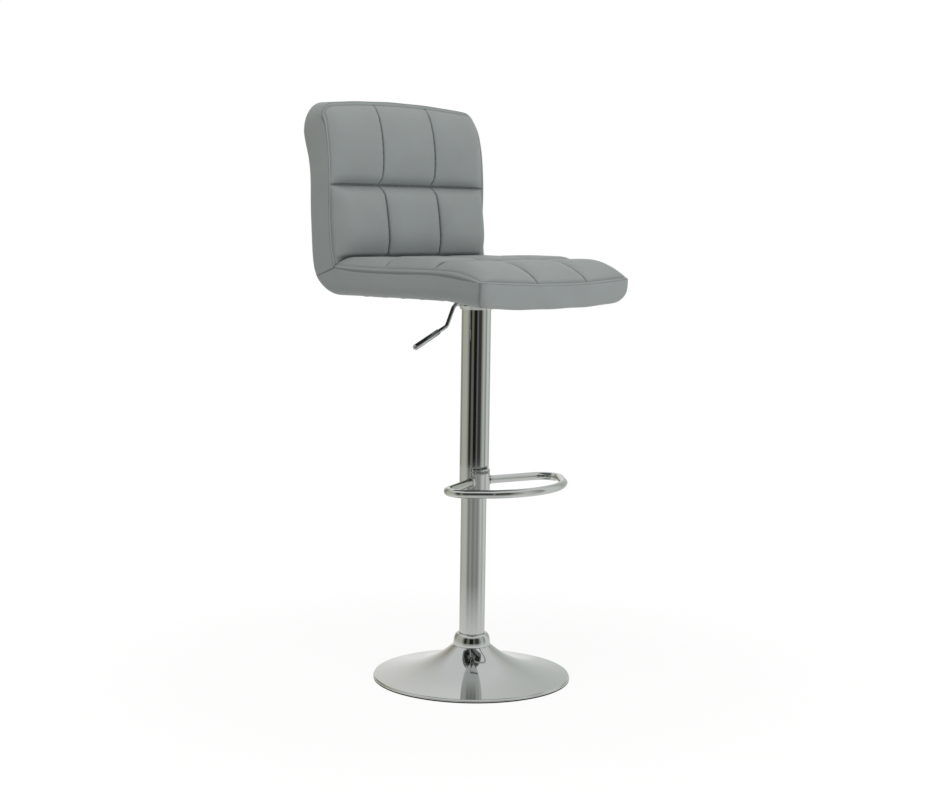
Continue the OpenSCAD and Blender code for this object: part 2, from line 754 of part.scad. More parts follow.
module gas_cylinder() {
    color([0.16, 0.16, 0.17])
    rotate_extrude()
    polygon([
        [cylinder_bore_r - cylinder_lip_t, cylinder_z],
        [cylinder_r, cylinder_z],
        [cylinder_r, cylinder_top - taper_len],
        [cylinder_r - taper_drop, cylinder_top],
        [pin_r + run_gap, cylinder_top],
        [pin_r + run_gap, cylinder_top - cylinder_head_t],
        [cylinder_bore_r, cylinder_top - cylinder_head_t],
        [cylinder_bore_r, cylinder_z + cylinder_lip_t],
        [cylinder_bore_r - cylinder_lip_t, cylinder_z + cylinder_lip_t]
    ]);
}

module rod_guide() {
    color([0.2, 0.2, 0.22]) ring(cylinder_bore_r - fixed_gap, rod_r + run_gap, guide_z, rod_guide_len);
}

module release_pin() {
    low = cylinder_top - 0.8 * cylinder_head_t;
    color([0.7, 0.71, 0.72]) translate([0, 0, low]) cylinder(r = pin_r, h = pin_top - low);
}

module cylinder_socket() {
    color([0.5, 0.51, 0.52])
    rotate_extrude()
    polygon([
        [cylinder_r + fixed_gap, socket_z],
        [socket_r, socket_z],
        [socket_r, socket_top],
        [cylinder_r - taper_drop + fixed_gap, socket_top],
        [cylinder_r - taper_drop + fixed_gap, cylinder_top],
        [cylinder_r + fixed_gap, cylinder_top - taper_len]
    ]);
}

module mechanism_cup() {
    inner_r = socket_r + fixed_gap;
    spigot_r = sleeve_bore_r - fixed_gap;
    color([0.78, 0.79, 0.8])
    difference() {
        rotate_extrude($fn = 96)
        polygon([
            [inner_r, cup_z],
            [spigot_r - cup_t, cup_z],
            [spigot_r - cup_t, cup_z - spigot_len],
            [spigot_r, cup_z - spigot_len],
            [spigot_r, cup_z],
            [cup_low_r, cup_z],
            [cup_high_r, plate_z],
            [cup_high_r - cup_t, plate_z],
            [cup_low_r - cup_t, cup_z + cup_t],
            [inner_r, cup_z + cup_t]
        ]);
        translate([-cup_high_r - over, -window_half_w, window_low])
            cube([cup_high_r + over, 2 * window_half_w, plate_z - window_low - cup_t]);
    }
}

module seat_plate() {
    corner_r = plate_side / 12;
    color([0.74, 0.75, 0.76])
    translate([0, 0, plate_z])
    difference() {
        union() {
            for (turn = [0, 90]) rotate([0, 0, turn])
                translate([-plate_side / 2, -plate_side / 2 + corner_r, 0])
                    cube([plate_side, plate_side - 2 * corner_r, plate_t]);
            four_corners(plate_side / 2 - corner_r) cylinder(r = corner_r, h = plate_t);
        }
        four_corners(seat_bolt_offset)
            translate([0, 0, -over]) cylinder(d = seat_bolt_d + 2 * fixed_gap, h = plate_t + 2 * over);
    }
}

module lever_ears() {
    color([0.7, 0.71, 0.72])
    for (side = [-1, 1])
        difference() {
            translate([-lever_pivot_x, side * (ear_y + ear_t / 2), lever_z - ear_half_w])
            translate([-ear_half_w, -ear_t / 2, 0])
                cube([2 * ear_half_w, ear_t, plate_z - lever_z + ear_half_w]);
            pivot_axis(pivot_r + run_gap);
        }
}

module pivot_axis(r) {
    reach = ear_y + 2 * ear_t;
    translate([-lever_pivot_x, reach, lever_z]) rotate([90, 0, 0]) cylinder(r = r, h = 2 * reach, $fn = 32);
}

module lever_pivot_pin() {
    color([0.55, 0.56, 0.57]) pivot_axis(pivot_r);
}

// Lever

module lever_piece(from, to, r) {
    step = to - from;
    translate([from[0], 0, from[1]])
    rotate([0, atan2(step[0], step[1]), 0]) cylinder(r = r, h = norm(step), $fn = 32);
}

module lever_knee(p, r) {
    translate([p[0], 0, p[1]]) sphere(r = r, $fn = 32);
}

module lever_rod() {
    path = [[lever_tip_in, lever_z], lever_p1, lever_p2, lever_p3, lever_p4 - grip_d / 2 * lever_dir];
    color([0.78, 0.79, 0.8])
    difference() {
        union() {
            for (i = [0:3]) lever_piece(path[i], path[i + 1], lever_r);
            for (i = [1:3]) lever_knee(path[i], lever_r + fixed_gap);
        }
        pivot_axis(pivot_r + run_gap);
    }
}

module lever_grip() {
    start = lever_p3 + grip_start * lever_dir;
    grip_r = grip_d / 2;
    bore_r = lever_r + fixed_gap;
    steps = 8;
    color([0.8, 0.81, 0.82])
    translate([start[0], 0, start[1]])
    rotate([0, atan2(lever_dir[0], lever_dir[1]), 0])
    rotate_extrude($fn = 48)
    polygon(concat(
        [[bore_r, 0], [(bore_r + grip_r) / 2, 0], [grip_r, grip_r - bore_r]],
        [for (i = [0:steps - 1])
            let (a = 90 / steps * i)
            [grip_r * cos(a), grip_len - grip_r + grip_r * sin(a)]],
        [[0, grip_len], [0, grip_len - grip_r + fixed_gap], [bore_r, grip_len - grip_r + fixed_gap]]
    ));
}

// Fasteners of the seat

module seat_bolts() {
    color([0.62, 0.62, 0.6])
    four_corners(seat_bolt_offset) {
        translate([0, 0, plate_z - washer_t - bolt_head_t])
            cylinder(r = bolt_head_r, h = bolt_head_t, $fn = 6);
        translate([0, 0, plate_z - washer_t - fixed_gap])
            cylinder(d = seat_bolt_d, h = washer_t + plate_t + ply_t);
    }
}

module bolt_washers() {
    color([0.66, 0.66, 0.66])
    four_corners(seat_bolt_offset) ring(washer_r, seat_bolt_d / 2 + fixed_gap, plate_z - washer_t, washer_t);
}

module t_nuts() {
    color([0.6, 0.61, 0.62])
    four_corners(seat_bolt_offset)
    translate([0, 0, board_z])
    difference() {
        union() {
            translate([0, 0, 2 * fixed_gap]) cylinder(r = t_nut_r, h = ply_t - 2 * fixed_gap);
            translate([0, 0, ply_t - t_nut_flange_t]) cylinder(r = t_nut_flange_r, h = t_nut_flange_t);
        }
        translate([0, 0, -over]) cylinder(d = seat_bolt_d + 2 * fixed_gap, h = ply_t + 2 * over);
    }
}

// Sleeve and footrest

module sleeve_tube() {
    color([0.8, 0.81, 0.82]) ring(sleeve_r, sleeve_bore_r, sleeve_z, sleeve_len);
}

module sleeve_glide_bush() {
    color([0.12, 0.12, 0.13])
    ring(sleeve_bore_r - fixed_gap, column_r + run_gap, sleeve_z, glide_bush_len);
}

module footrest_saddle() {
    color([0.8, 0.81, 0.82])
    translate([0, 0, sleeve_z + saddle_rise])
    rotate([0, 0, 270 - saddle_half_angle])
    rotate_extrude(angle = 2 * saddle_half_angle)
    translate([saddle_in_r, 0]) square([saddle_t, saddle_h]);
}

function foot_arc(centre, bend_r, head, turn, steps) =
    [for (i = [0:steps]) let (h = head - turn * i / steps) [centre - bend_r * right_of(h), h]];
foot_half = concat(
    [[foot_p0 - 2 * saddle_t * heading(arm_head), arm_head]],
    foot_arc(foot_c1, wide_corner_r, arm_head, wide_corner_angle, wide_corner_steps),
    foot_arc(foot_c2, front_corner_r, side_head, front_corner_angle, front_corner_steps),
    [for (place = foot_arc(foot_c3, front_arc_r, front_head, front_turn, front_arc_steps))
        if (place[0][0] > foot_r) place]
);
foot_other_half = [
    for (i = [len(foot_half) - 1:-1:0])
        [[-foot_half[i][0][0], foot_half[i][0][1]], -foot_half[i][1]]
];
foot_middle = [[[0, foot_c3[1] - front_arc_r], 180]];

// Ring of a tube around a place of a level path, given as [point, heading]
function tube_ring(place, z) = [
    for (k = [0:foot_sides - 1])
        let (a = 360 / foot_sides * k, side = foot_r * cos(a) * right_of(place[1]))
        [place[0][0] + side[0], place[0][1] + side[1], z + foot_r * sin(a)]
];

module footrest_loop() {
    path = concat(foot_half, foot_middle, foot_other_half);
    color([0.8, 0.81, 0.82])
    difference() {
        skin_over([for (place = path) tube_ring(place, foot_z)]);
        translate([0, 0, foot_z - saddle_h]) cylinder(r = saddle_r + fixed_gap, h = 2 * saddle_h);
    }
}

// Seat shell and upholstery

// Side view of the plywood, drawn with Y to the right and Z up, grown by a gap
module ply_outline(gap) {
    outer = ply_bend_r + gap;
    inner = ply_bend_r - ply_t - gap;
    lower_lean = atan2(ply_lower_lean, ply_rear_h);
    upper_lean = atan2(ply_upper_lean, ply_lean_h);
    lower_top = ply_bend_c + [ply_bend_r - ply_t / 2 + ply_lower_lean, ply_rear_h];
    translate([-ply_front - gap, board_z - gap]) square([ply_front + ply_bend_c[0] + gap, ply_t + 2 * gap]);
    translate(ply_bend_c)
    intersection() {
        difference() {
            circle(r = outer, $fn = 96);
            circle(r = inner, $fn = 96);
        }
        translate([0, -2 * outer]) square([2 * outer, 2 * outer]);
    }
    translate(ply_bend_c + [ply_bend_r - ply_t / 2, 0]) ply_leaning(ply_rear_h, lower_lean, gap);
    translate(lower_top) ply_leaning(ply_lean_h, upper_lean, gap);
}

module ply_leaning(h, lean, gap) {
    rotate([0, 0, -lean])
    translate([-ply_t / 2 - gap, -gap]) square([ply_t + 2 * gap, h + 2 * gap]);
}

module ply_solid(gap) {
    rotate([90, 0, 90])
    translate([0, 0, -ply_half_w - gap])
    linear_extrude(height = 2 * (ply_half_w + gap)) ply_outline(gap);
}

module plywood_shell() {
    color([0.72, 0.56, 0.38])
    difference() {
        ply_solid(0);
        four_corners(seat_bolt_offset) {
            translate([0, 0, board_z - over]) cylinder(r = t_nut_r + fixed_gap, h = ply_t + 2 * over);
            translate([0, 0, board_z + ply_t - t_nut_flange_t - fixed_gap])
                cylinder(r = t_nut_flange_r + fixed_gap, h = over);
        }
    }
}

module seat_cushion() {
    lip_share = lip_len / seat_len;
    all_shares = stations(third_shares, panel_shares);
    places = concat(
        [for (v = all_shares) if (v < lip_share) v],
        lip_share,
        [for (v = all_shares) if (v > lip_share) v]
    );
    rings = [for (v = places) [for (r = ring_shares(seat_thick, front_growth(v))) seat_point(v, r)]];
    noses = [for (n = front_nose_shares) nose(rings[0], n[0], 2, [0, -nose_swell * n[1], 0])];
    color([0.5, 0.52, 0.53])
    difference() {
        translate([0, -soft_gap / 2, 0]) skin_over(concat(noses, rings), len(rings[0]) - band_points / 2);
        ply_solid(soft_gap);
        translate([-opening_half_w, -opening_front, underside_z - lip_drop])
            cube([2 * opening_half_w, opening_front + opening_rear, lip_drop + ply_cover]);
    }
}

module back_cushion() {
    rings = [for (v = back_stations) [for (r = ring_shares(back_thick)) back_point(v, r)]];
    noses = [for (n = top_nose_shares) nose(rings[len(rings) - 1], n[0], 1, [0, 0, top_swell * n[1]])];
    color([0.5, 0.52, 0.53])
    difference() {
        translate([0, soft_gap / 2, soft_gap / 2])
            skin_over(concat(rings, noses), len(rings[0]) - band_points / 2);
        ply_solid(soft_gap);
    }
}

module dust_cover() {
    hole = plate_side / 2 + plate_margin;
    z = underside_z - soft_gap - dust_t;
    color([0.08, 0.08, 0.08])
    difference() {
        translate([-dust_half_w, -dust_front, z]) cube([2 * dust_half_w, dust_front + dust_rear, dust_t]);
        translate([-hole, -hole, z - over]) cube([2 * hole, 2 * hole, dust_t + 2 * over]);
    }
}

module dust_cover_staples() {
    z = underside_z - soft_gap - dust_t - staple_size[2];
    long = staple_size[0];
    wide = staple_size[1];
    inset = 2 * wide;
    color([0.6, 0.6, 0.6]) {
        for (i = [0:staples_across - 1]) for (y = [-dust_front + inset, dust_rear - inset])
            translate([mix(-1, 1, i / (staples_across - 1)) * staple_reach_share * dust_half_w, y, z])
            translate([-long / 2, -wide / 2, 0]) cube(staple_size);
        for (i = [0:staples_along - 1]) for (x = [-1, 1])
            let (y = mix(-dust_front, dust_rear, (i + 1) / (staples_along + 1)))
            translate([x * (dust_half_w - inset) - wide / 2, y - long / 2, z])
                cube([wide, long, staple_size[2]]);
    }
}

base_dish();
base_edge_ring();
base_weight();
column_flange();
base_bolts();
column_tube();
column_trim_ring();
column_guide_bush();
bearing_lower_race();
bearing_cage();
bearing_balls();
bearing_upper_race();
rubber_buffer();
piston_rod();
rod_clip();
piston_head();
gas_cylinder();
rod_guide();
release_pin();
cylinder_socket();
mechanism_cup();
seat_plate();
lever_ears();
lever_pivot_pin();
lever_rod();
lever_grip();
seat_bolts();
bolt_washers();
t_nuts();
sleeve_tube();
sleeve_glide_bush();
footrest_saddle();
footrest_loop();
plywood_shell();
seat_cushion();
back_cushion();
dust_cover();
dust_cover_staples();
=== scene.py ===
# Looks of the bar stool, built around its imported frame. Metres, +Z up, the seat faces -Y.
import json
import math

import bmesh
import bpy
import numpy as np
from mathutils import Matrix, Quaternion, Vector

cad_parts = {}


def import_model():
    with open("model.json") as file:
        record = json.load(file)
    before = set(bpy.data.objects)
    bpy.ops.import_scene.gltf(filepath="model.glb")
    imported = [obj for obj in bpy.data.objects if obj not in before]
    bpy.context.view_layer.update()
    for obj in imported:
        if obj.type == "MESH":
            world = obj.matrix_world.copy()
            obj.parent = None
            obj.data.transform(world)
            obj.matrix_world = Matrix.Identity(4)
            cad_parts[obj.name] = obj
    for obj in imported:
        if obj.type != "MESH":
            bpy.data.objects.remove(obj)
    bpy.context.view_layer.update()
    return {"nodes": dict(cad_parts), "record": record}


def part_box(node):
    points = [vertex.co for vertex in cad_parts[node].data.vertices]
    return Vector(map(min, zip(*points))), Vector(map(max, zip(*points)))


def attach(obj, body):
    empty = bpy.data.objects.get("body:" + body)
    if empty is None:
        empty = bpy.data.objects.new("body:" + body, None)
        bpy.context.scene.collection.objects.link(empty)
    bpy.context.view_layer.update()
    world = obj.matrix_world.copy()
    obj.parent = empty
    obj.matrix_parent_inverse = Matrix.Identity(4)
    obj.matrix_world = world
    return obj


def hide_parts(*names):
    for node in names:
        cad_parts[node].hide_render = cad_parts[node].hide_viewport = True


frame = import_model()

# Photograph: its size in pixels, and the camera that it was taken with
PHOTO_WIDTH = 925
FOCAL_PIXELS = 1755
SENSOR_WIDTH = 36
CAMERA_DISTANCE = 3.374
CAMERA_HEIGHT = 0.9075
CAMERA_SIDE = -0.0244
CAMERA_TURN = math.radians(-48.8)
CAMERA_PITCH = math.radians(6.11)
CAMERA_ROLL = math.radians(0.77)

# Seat and back. The main sizes are those of the part's source, the roundings and shares were refined here.
SEAT_W = 0.440
HALF_W = SEAT_W / 2
FRONT_REACH = 0.204
CORNER_REACH = 0.167
SEAT_LEN = FRONT_REACH + CORNER_REACH
SEAT_THICK = 0.051
BACK_H = 0.305
BACK_THICK = 0.068
PLY_COVER = 0.003
SOFT_GAP = 0.0004

# Front edge and lip of the seat
FRONT_BOW = 0.012
FRONT_CORNER_ROUND = 0.016
FRONT_DIP = 0.0085
FRONT_ROLL = 0.080
FRONT_ROLL_POWER = 1.7
FRONT_ROUND_FACTOR = 1.25
NOSE_SWELL = 0.0025
LIP_DROP = 0.0155
LIP_CORNER_DROP = 0.0095
LIP_SET_BACK = 0.008
LIP_LEN = 0.070
LIP_ROUND = 0.007
LIP_POWER = 3

# Sides and edges, and the bend from the seat's underside to the back's rear
SEAM_DROP = 0.016
SIDE_ROLL = 0.032
EDGE_ROUND = 0.022
ROUND_START = 0.6
DRAW_IN = 0.003
BAND_SWELL = 0.0025
BEND_R = 0.070
BEND_RUN_SHARE = 0.83
THICKEN_POWER = 6

# Outline and top edge of the back
BACK_ARCH = 0.012
BACK_CORNER_ROUND = 0.028
REAR_CORNER_ROUND = 0.047
BACK_LEAN = 0.029
BACK_DISH = 0.010
BACK_SPREAD = 0.0035
BACK_DRAW_IN = 0.0015
SPREAD_POWER = 8
TOP_POWER = 4
TOP_SWELL = 0.0015
DOME_POWER = 3
DOME_SIDE_POWER = 12
DOME_RUN_SHARE = 0.05

# Crowns of the panels and the valleys between them
PANEL_LINES = (-1 / 3, 1 / 3)
PANEL_ROLL = 0.035
EDGE_ROLL = 0.032
CHANNEL_RISE = 0.012
SEAT_CROWN = 0.013
BACK_CROWN = 0.032
VALLEY_SHARE = 0.6
ROW_DIP = 0.0075
ROW_DIP_RUN = 0.010
ARCH_POWER = 0.6
NIP_SHARE = 0.10
PUFF_POWER = 7
SEAT_ROW_SHARES = [0, 1 / 3, 2 / 3, 1]
SEAT_CROWN_SHARES = [0.7, 1, 0.75]
BACK_ROW_SHARES = [0, 0.508, 1]
BACK_CROWN_SHARES = [1, 0.49]
BACK_PEAK_SHARES = [0.4, 0.5]

# Curves along the seat and up the back: pairs of a share of the length and a share of SEAM_DROP or BACK_LEAN
SEAM_SHARES = [(0, 0.1), (0.1, 0.3), (0.22, 0.6), (0.34, 0.74), (0.55, 0.65), (0.83, 0.7), (1, 1)]
BACK_FRONT_SHARES = [(0, 0), (0.1, 0.2), (0.3, 0.37), (0.52, 0.35), (0.72, 0.48), (0.86, 0.69),
                     (0.94, 0.9), (1, 1.22)]
BACK_REAR_SHARES = [(0, -0.35), (0.06, -0.08), (0.16, 0.1), (0.36, 0.24), (0.58, 0.32),
                    (0.72, 0.5), (0.86, 0.82), (0.95, 0.94), (1, 0.9)]

# Sewing: a groove at each seam, a row of stitches beside it and a valley at each channel
SEAM_DEPTH = 0.0010
SEAM_SPREAD = 0.0009
# Painted shade: SEAM_SHADE is how far the leather's colour darkens along the seams, stitch lines and channels
SEAM_SHADE = 0.75
STITCH_SET_BACK = 0.0056
STITCH_DEPTH = 0.0006
# Share of that painted shade on the stitch lines
STITCH_SHADE = 0.65
STITCH_SPREAD = 0.0009
CHANNEL_DEPTH = 0.0018
CHANNEL_SPREAD = 0.0015
# Puckers: ridges across the sewing, which wander by some radians along waves across and along the face
PUCKER_DEPTH = 0.0004
PUCKER_REACH = 0.010
PUCKER_LENGTH = 0.013
PUCKER_WANDER = 3
PUCKER_WAVES = (9, 7)
# Slack of the cover, less on its face than on its sides, where it grows over a share of the thickness
SLACK_DEPTH = 0.0006
SLACK_SCALE = 0.045
SLACK_ON_FACE = 0.5
SLACK_GROWTH = 0.125
# Single stitches. The shape is half an outline: shares of a stitch's length and of the thread's radius.
STITCH_PITCH = 0.0043
STITCH_LEN = 0.0034
THREAD_R = 0.00034
STITCH_SHAPE = [(-0.5, 0.35), (-0.36, 0.9), (0, 1), (0.36, 0.9), (0.5, 0.35)]
STITCH_SIDES = 6
STITCH_SINK = 1.3
STITCH_SETTLE = 0.6
STITCH_RUN_POINTS = 400
# Cells of the covers: over the whole width or length, at least in each panel, and through the thickness
ROW_CELLS = 90
LEAST_CELLS = 4
BAND_CELLS = 22
# Clearance of other places from a mark, and the difference below which two places are the same
MARK_CLEARANCE = 0.0005
TOUCH = 1e-6

# Heights that the frame gives
BOARD_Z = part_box("plywood_shell")[0].z
UNDERSIDE_Z = BOARD_Z - PLY_COVER
CORNER_Z = UNDERSIDE_Z + SEAT_THICK
LEVEL_Z = CORNER_Z + CHANNEL_RISE
BACK_TOP_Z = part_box("back_cushion")[1].z - BACK_ARCH - TOP_SWELL


def mix(a, b, t):
    """Value at the share t of the way from a to b."""
    return a + (b - a) * t


def curve(shares, t):
    """Value at t of the smooth curve through a table of (place, value) shares."""
    x, y = np.array(shares, float).T
    slope = np.gradient(y, x)
    slope[1:-1] = (y[2:] - y[:-2]) / (x[2:] - x[:-2])
    t = np.clip(t, 0, 1)
    i = np.clip(np.searchsorted(x, t) - 1, 0, len(x) - 2)
    w = x[i + 1] - x[i]
    s = (t - x[i]) / w
    start = y[i] * (2 * s**3 - 3 * s**2 + 1) + slope[i] * w * (s**3 - 2 * s**2 + s)
    return start + y[i + 1] * (3 * s**2 - 2 * s**3) + slope[i + 1] * w * (s**3 - s**2)


def bell(d, spread):
    """Smooth hill of height 1 around a distance of 0."""
    return np.exp(-((d / spread) ** 2))


def puff(q):
    """Fullness of a panel at its place q: 0 at both ends and near 1 between them."""
    return np.sqrt(np.clip(1 - np.abs(2 * q - 1) ** PUFF_POWER, 0, 1))


def panel_of(t, rows):
    """Index of the panel that t lies in, and its place in that panel."""
    rows = np.array(rows)
    i = np.clip(np.searchsorted(rows, t, side="left") - 1, 0, len(rows) - 2)
    return i, (t - rows[i]) / (rows[i + 1] - rows[i])


def crown_share(v, rows, shares):
    """Fullness along the rows of panels, each with its own share of the crown."""
    i, q = panel_of(v, rows)
    return np.array(shares)[i] * puff(q)


def rise(d, run):
    """Rise of a quarter circle from 0 to 1 over a run."""
    return np.sqrt(1 - (1 - np.clip(d / run, 0, 1)) ** 2)


def side_rise(u):
    """Rise of the top from the side seam."""
    return rise(HALF_W * (1 - np.abs(u)), SIDE_ROLL)


def edge_hill(u):
    """Slow rise of a crown from the stitches beside the side seam."""
    d = HALF_W * (1 - np.abs(u)) - STITCH_SET_BACK
    return np.sin(np.clip(d / EDGE_ROLL, 0, 1) * math.pi / 2)


def channel_hill(u):
    """Quick rise of a crown from the nearest of the two channels."""
    return rise(HALF_W * np.abs(np.abs(u) - PANEL_LINES[1]), PANEL_ROLL)


def rounding(u, r):
    """How far a corner rounded with r falls back at the place u across."""
    d = np.clip(np.abs(u) * HALF_W - HALF_W + r, 0, r)
    return r - np.sqrt(np.clip(r * r - d * d, 0, None))


def front_y(u):
    """Front edge of the seat, bowed and with rounded corners."""
    return -FRONT_REACH - FRONT_BOW * (1 - u * u) + rounding(u, FRONT_CORNER_ROUND)


def inner_y(u):
    """The mitre seam, in which the seat meets the dished front of the back."""
    return CORNER_REACH + BACK_DISH * (1 - u * u)


def back_rear_y(v):
    """Rear of the back, from its lower end to its top."""
    return CORNER_REACH + BACK_THICK + BACK_LEAN * curve(BACK_REAR_SHARES, v)


MITRE_Y = float(back_rear_y(0))
BEND_Y = MITRE_Y - BEND_RUN_SHARE * BEND_R


def under_turn(y):
    """Rise of the underside where it bends up into the back's rear."""
    d = np.clip(y - BEND_Y, 0, BEND_R)
    return BEND_R - np.sqrt(BEND_R**2 - d * d)


MITRE_Z = UNDERSIDE_Z + float(under_turn(MITRE_Y))


def section(w, round_share):
    """Share of the thickness at w, and how far the rounding at the far edge has turned in, from 0 to 1."""
    angle = np.clip((w - ROUND_START) / (1 - ROUND_START), 0, 1) * math.pi / 2
    straight = (1 - round_share) * np.minimum(w / ROUND_START, 1)
    return straight + round_share * np.sin(angle), 1 - np.cos(angle)


def seat_top_z(u, v):
    """Height of the seat's top: the edge seam, the rolls from it and the crowned panels."""
    front = 1 - (1 - np.clip(v * SEAT_LEN / FRONT_ROLL, 0, 1)) ** FRONT_ROLL_POWER
    seam = CORNER_Z - SEAM_DROP * (1 - curve(SEAM_SHARES, v))
    level = seam + (LEVEL_Z - seam) * side_rise(u) * front - FRONT_DIP * (1 - u * u) * (1 - front)
    flange = STITCH_SET_BACK / SEAT_LEN
    rows = [flange] + SEAT_ROW_SHARES[1:]
    crown = channel_hill(u) * edge_hill(u) * crown_share(np.maximum(v, flange), rows, SEAT_CROWN_SHARES)
    return level + SEAT_CROWN * crown


def seat_surface(u, v, w):
    """Points of the seat's cover at places across, along and through it."""
    grown = 1 + (FRONT_ROUND_FACTOR - 1) * np.clip(1 - v * SEAT_LEN / FRONT_ROLL, 0, 1)
    r = EDGE_ROUND * grown
    s, turned = section(w, r / mix(SEAT_THICK, BACK_THICK, v**THICKEN_POWER))
    waist = np.sin(math.pi * v)
    bulge = np.sin(math.pi * s)
    x = u * (HALF_W - DRAW_IN * waist - r * turned + BAND_SWELL * waist * bulge)
    near = front_y(u) + LIP_SET_BACK * s + LIP_ROUND * turned - NOSE_SWELL * bulge
    y = mix(near, mix(inner_y(u), MITRE_Y, s), v)
    lip = LIP_CORNER_DROP + (LIP_DROP - LIP_CORNER_DROP) * (1 - np.abs(u) ** LIP_POWER)
    outer_y = mix(front_y(u) + LIP_SET_BACK, MITRE_Y, v)
    bottom = UNDERSIDE_Z - np.clip(1 - v * SEAT_LEN / LIP_LEN, 0, 1) * lip + under_turn(outer_y)
    z = mix(seat_top_z(u, v), bottom, s)
    return np.stack([x, y - SOFT_GAP / 2, z], 1)


def back_front_y(u, v):
    """Front of the back: its lean, the crowned panels and the valley between its rows."""
    flange = STITCH_SET_BACK / BACK_H
    row, q = panel_of(np.minimum(v, 1 - flange), BACK_ROW_SHARES[:-1] + [1 - flange])
    peak = np.array(BACK_PEAK_SHARES)[row]
    from_peak = np.where(q > peak, (q - peak) / (1 - peak), (peak - q) / peak)
    arch = np.clip(1 - from_peak**2, 0, 1) ** ARCH_POWER
    nip = np.where(row == 0, np.minimum(q / NIP_SHARE, 1) ** 2, 1)
    hill = (VALLEY_SHARE + (1 - VALLEY_SHARE) * channel_hill(u)) * edge_hill(u)
    crown = BACK_CROWN * np.array(BACK_CROWN_SHARES)[row] * arch * nip * hill
    dip = ROW_DIP * bell((v - BACK_ROW_SHARES[1]) * BACK_H, ROW_DIP_RUN) * edge_hill(u)
    return inner_y(u) + BACK_LEAN * curve(BACK_FRONT_SHARES, v) - crown + dip


def back_surface(u, v, w):
    """Points of the back's cover, from its lower end to its top and from its front to its rear."""
    s, turned = section(w, EDGE_ROUND / BACK_THICK)
    waist = np.sin(math.pi * v)
    bulge = np.sin(math.pi * s)
    belly = (1 - (1 - v) ** SPREAD_POWER) * (1 - v**SPREAD_POWER)
    sides = BACK_SPREAD * belly * (1 - s) - BACK_DRAW_IN * waist * s + BAND_SWELL * waist * bulge
    x = u * (HALF_W + sides - EDGE_ROUND * turned)
    y = mix(back_front_y(u, v), back_rear_y(v), s)
    high = v**TOP_POWER
    fall = rounding(u, BACK_CORNER_ROUND) * high
    rear_fall = rounding(u, REAR_CORNER_ROUND) * high
    z_front = mix(CORNER_Z, BACK_TOP_Z, v) + CHANNEL_RISE * side_rise(u) * (1 - v) ** TOP_POWER
    z_front = z_front + BACK_ARCH * (1 - u * u) * high - fall
    z_rear = mix(MITRE_Z, BACK_TOP_Z, v) + BACK_ARCH * (1 - u * u) * high - rear_fall
    dome = np.sqrt(np.clip(1 - np.abs(2 * s - 1) ** DOME_POWER, 0, 1)) * (1 - np.abs(u) ** DOME_SIDE_POWER)
    z = mix(z_front, z_rear, s) + TOP_SWELL * dome * np.clip(1 - (1 - v) / DOME_RUN_SHARE, 0, 1)
    return np.stack([x, y + SOFT_GAP / 2, z + SOFT_GAP / 2], 1)


def places(rows, length, marks):
    """Places from 0 to 1, closer together at the ends of each panel, with a mark at each given distance."""
    found = set()
    for a, b in zip(rows[:-1], rows[1:]):
        cells = max(LEAST_CELLS, round(ROW_CELLS * (b - a)))
        found.update(mix(a, b, 0.5 - 0.5 * math.cos(math.pi * k / cells)) for k in range(cells + 1))
    marks = sorted(m / length for m in marks)
    kept = [p for p in sorted(found)
            if p in rows or all(abs(p - m) * length > MARK_CLEARANCE for m in marks)]
    return np.array(sorted(kept + marks))


def lattice(across, along, through):
    """Vertices and faces of a closed box of cells: each vertex as its places across, along and through."""
    sizes = [len(across), len(along), len(through)]
    index, corners, faces = {}, [], []

    def vertex(ijk):
        if ijk not in index:
            index[ijk] = len(corners)
            corners.append([across[ijk[0]], along[ijk[1]], through[ijk[2]]])
        return index[ijk]

    for fixed in range(3):
        a, b = [axis for axis in range(3) if axis != fixed]
        for end in (0, sizes[fixed] - 1):
            for i in range(sizes[a] - 1):
                for j in range(sizes[b] - 1):
                    quad = []
                    for di, dj in ((0, 0), (1, 0), (1, 1), (0, 1)):
                        ijk = [0, 0, 0]
                        ijk[fixed], ijk[a], ijk[b] = end, i + di, j + dj
                        quad.append(vertex(tuple(ijk)))
                    faces.append(quad)
    return np.array(corners), faces


def add_object(name, data):
    made = bpy.data.objects.new(name, data)
    bpy.context.scene.collection.objects.link(made)
    return made


def new_piece(name, points, faces, material):
    """A smooth mesh object whose faces look outward."""
    mesh = bpy.data.meshes.new(name)
    mesh.from_pydata([tuple(p) for p in points], [], faces)
    piece = add_object(name, mesh)
    whole = bmesh.new()
    whole.from_mesh(mesh)
    bmesh.ops.recalc_face_normals(whole, faces=whole.faces)
    whole.to_mesh(mesh)
    whole.free()
    mesh.shade_smooth()
    mesh.materials.append(material)
    mesh.update()
    return piece


def of_vertices(piece, what):
    """Places ("co") or normals ("normal") of a piece's vertices, one in a row."""
    found = np.zeros(len(piece.data.vertices) * 3, np.float32)
    piece.data.vertices.foreach_get(what, found)
    return found.reshape(-1, 3).astype(float)


def slow_noise(points, scale, seed):
    """Smooth noise between -1 and 1 from made-up waves, the same each run."""
    x, y, z = (points / scale).T
    first = np.sin(1.7 * x + 2.3 * z + seed) * np.cos(2.1 * y - 1.3 * x + 2 * seed)
    second = np.sin(3.1 * y + 1.9 * z - seed) * np.cos(2.7 * x + 0.7 * y + 3 * seed)
    return 0.6 * first + 0.4 * second


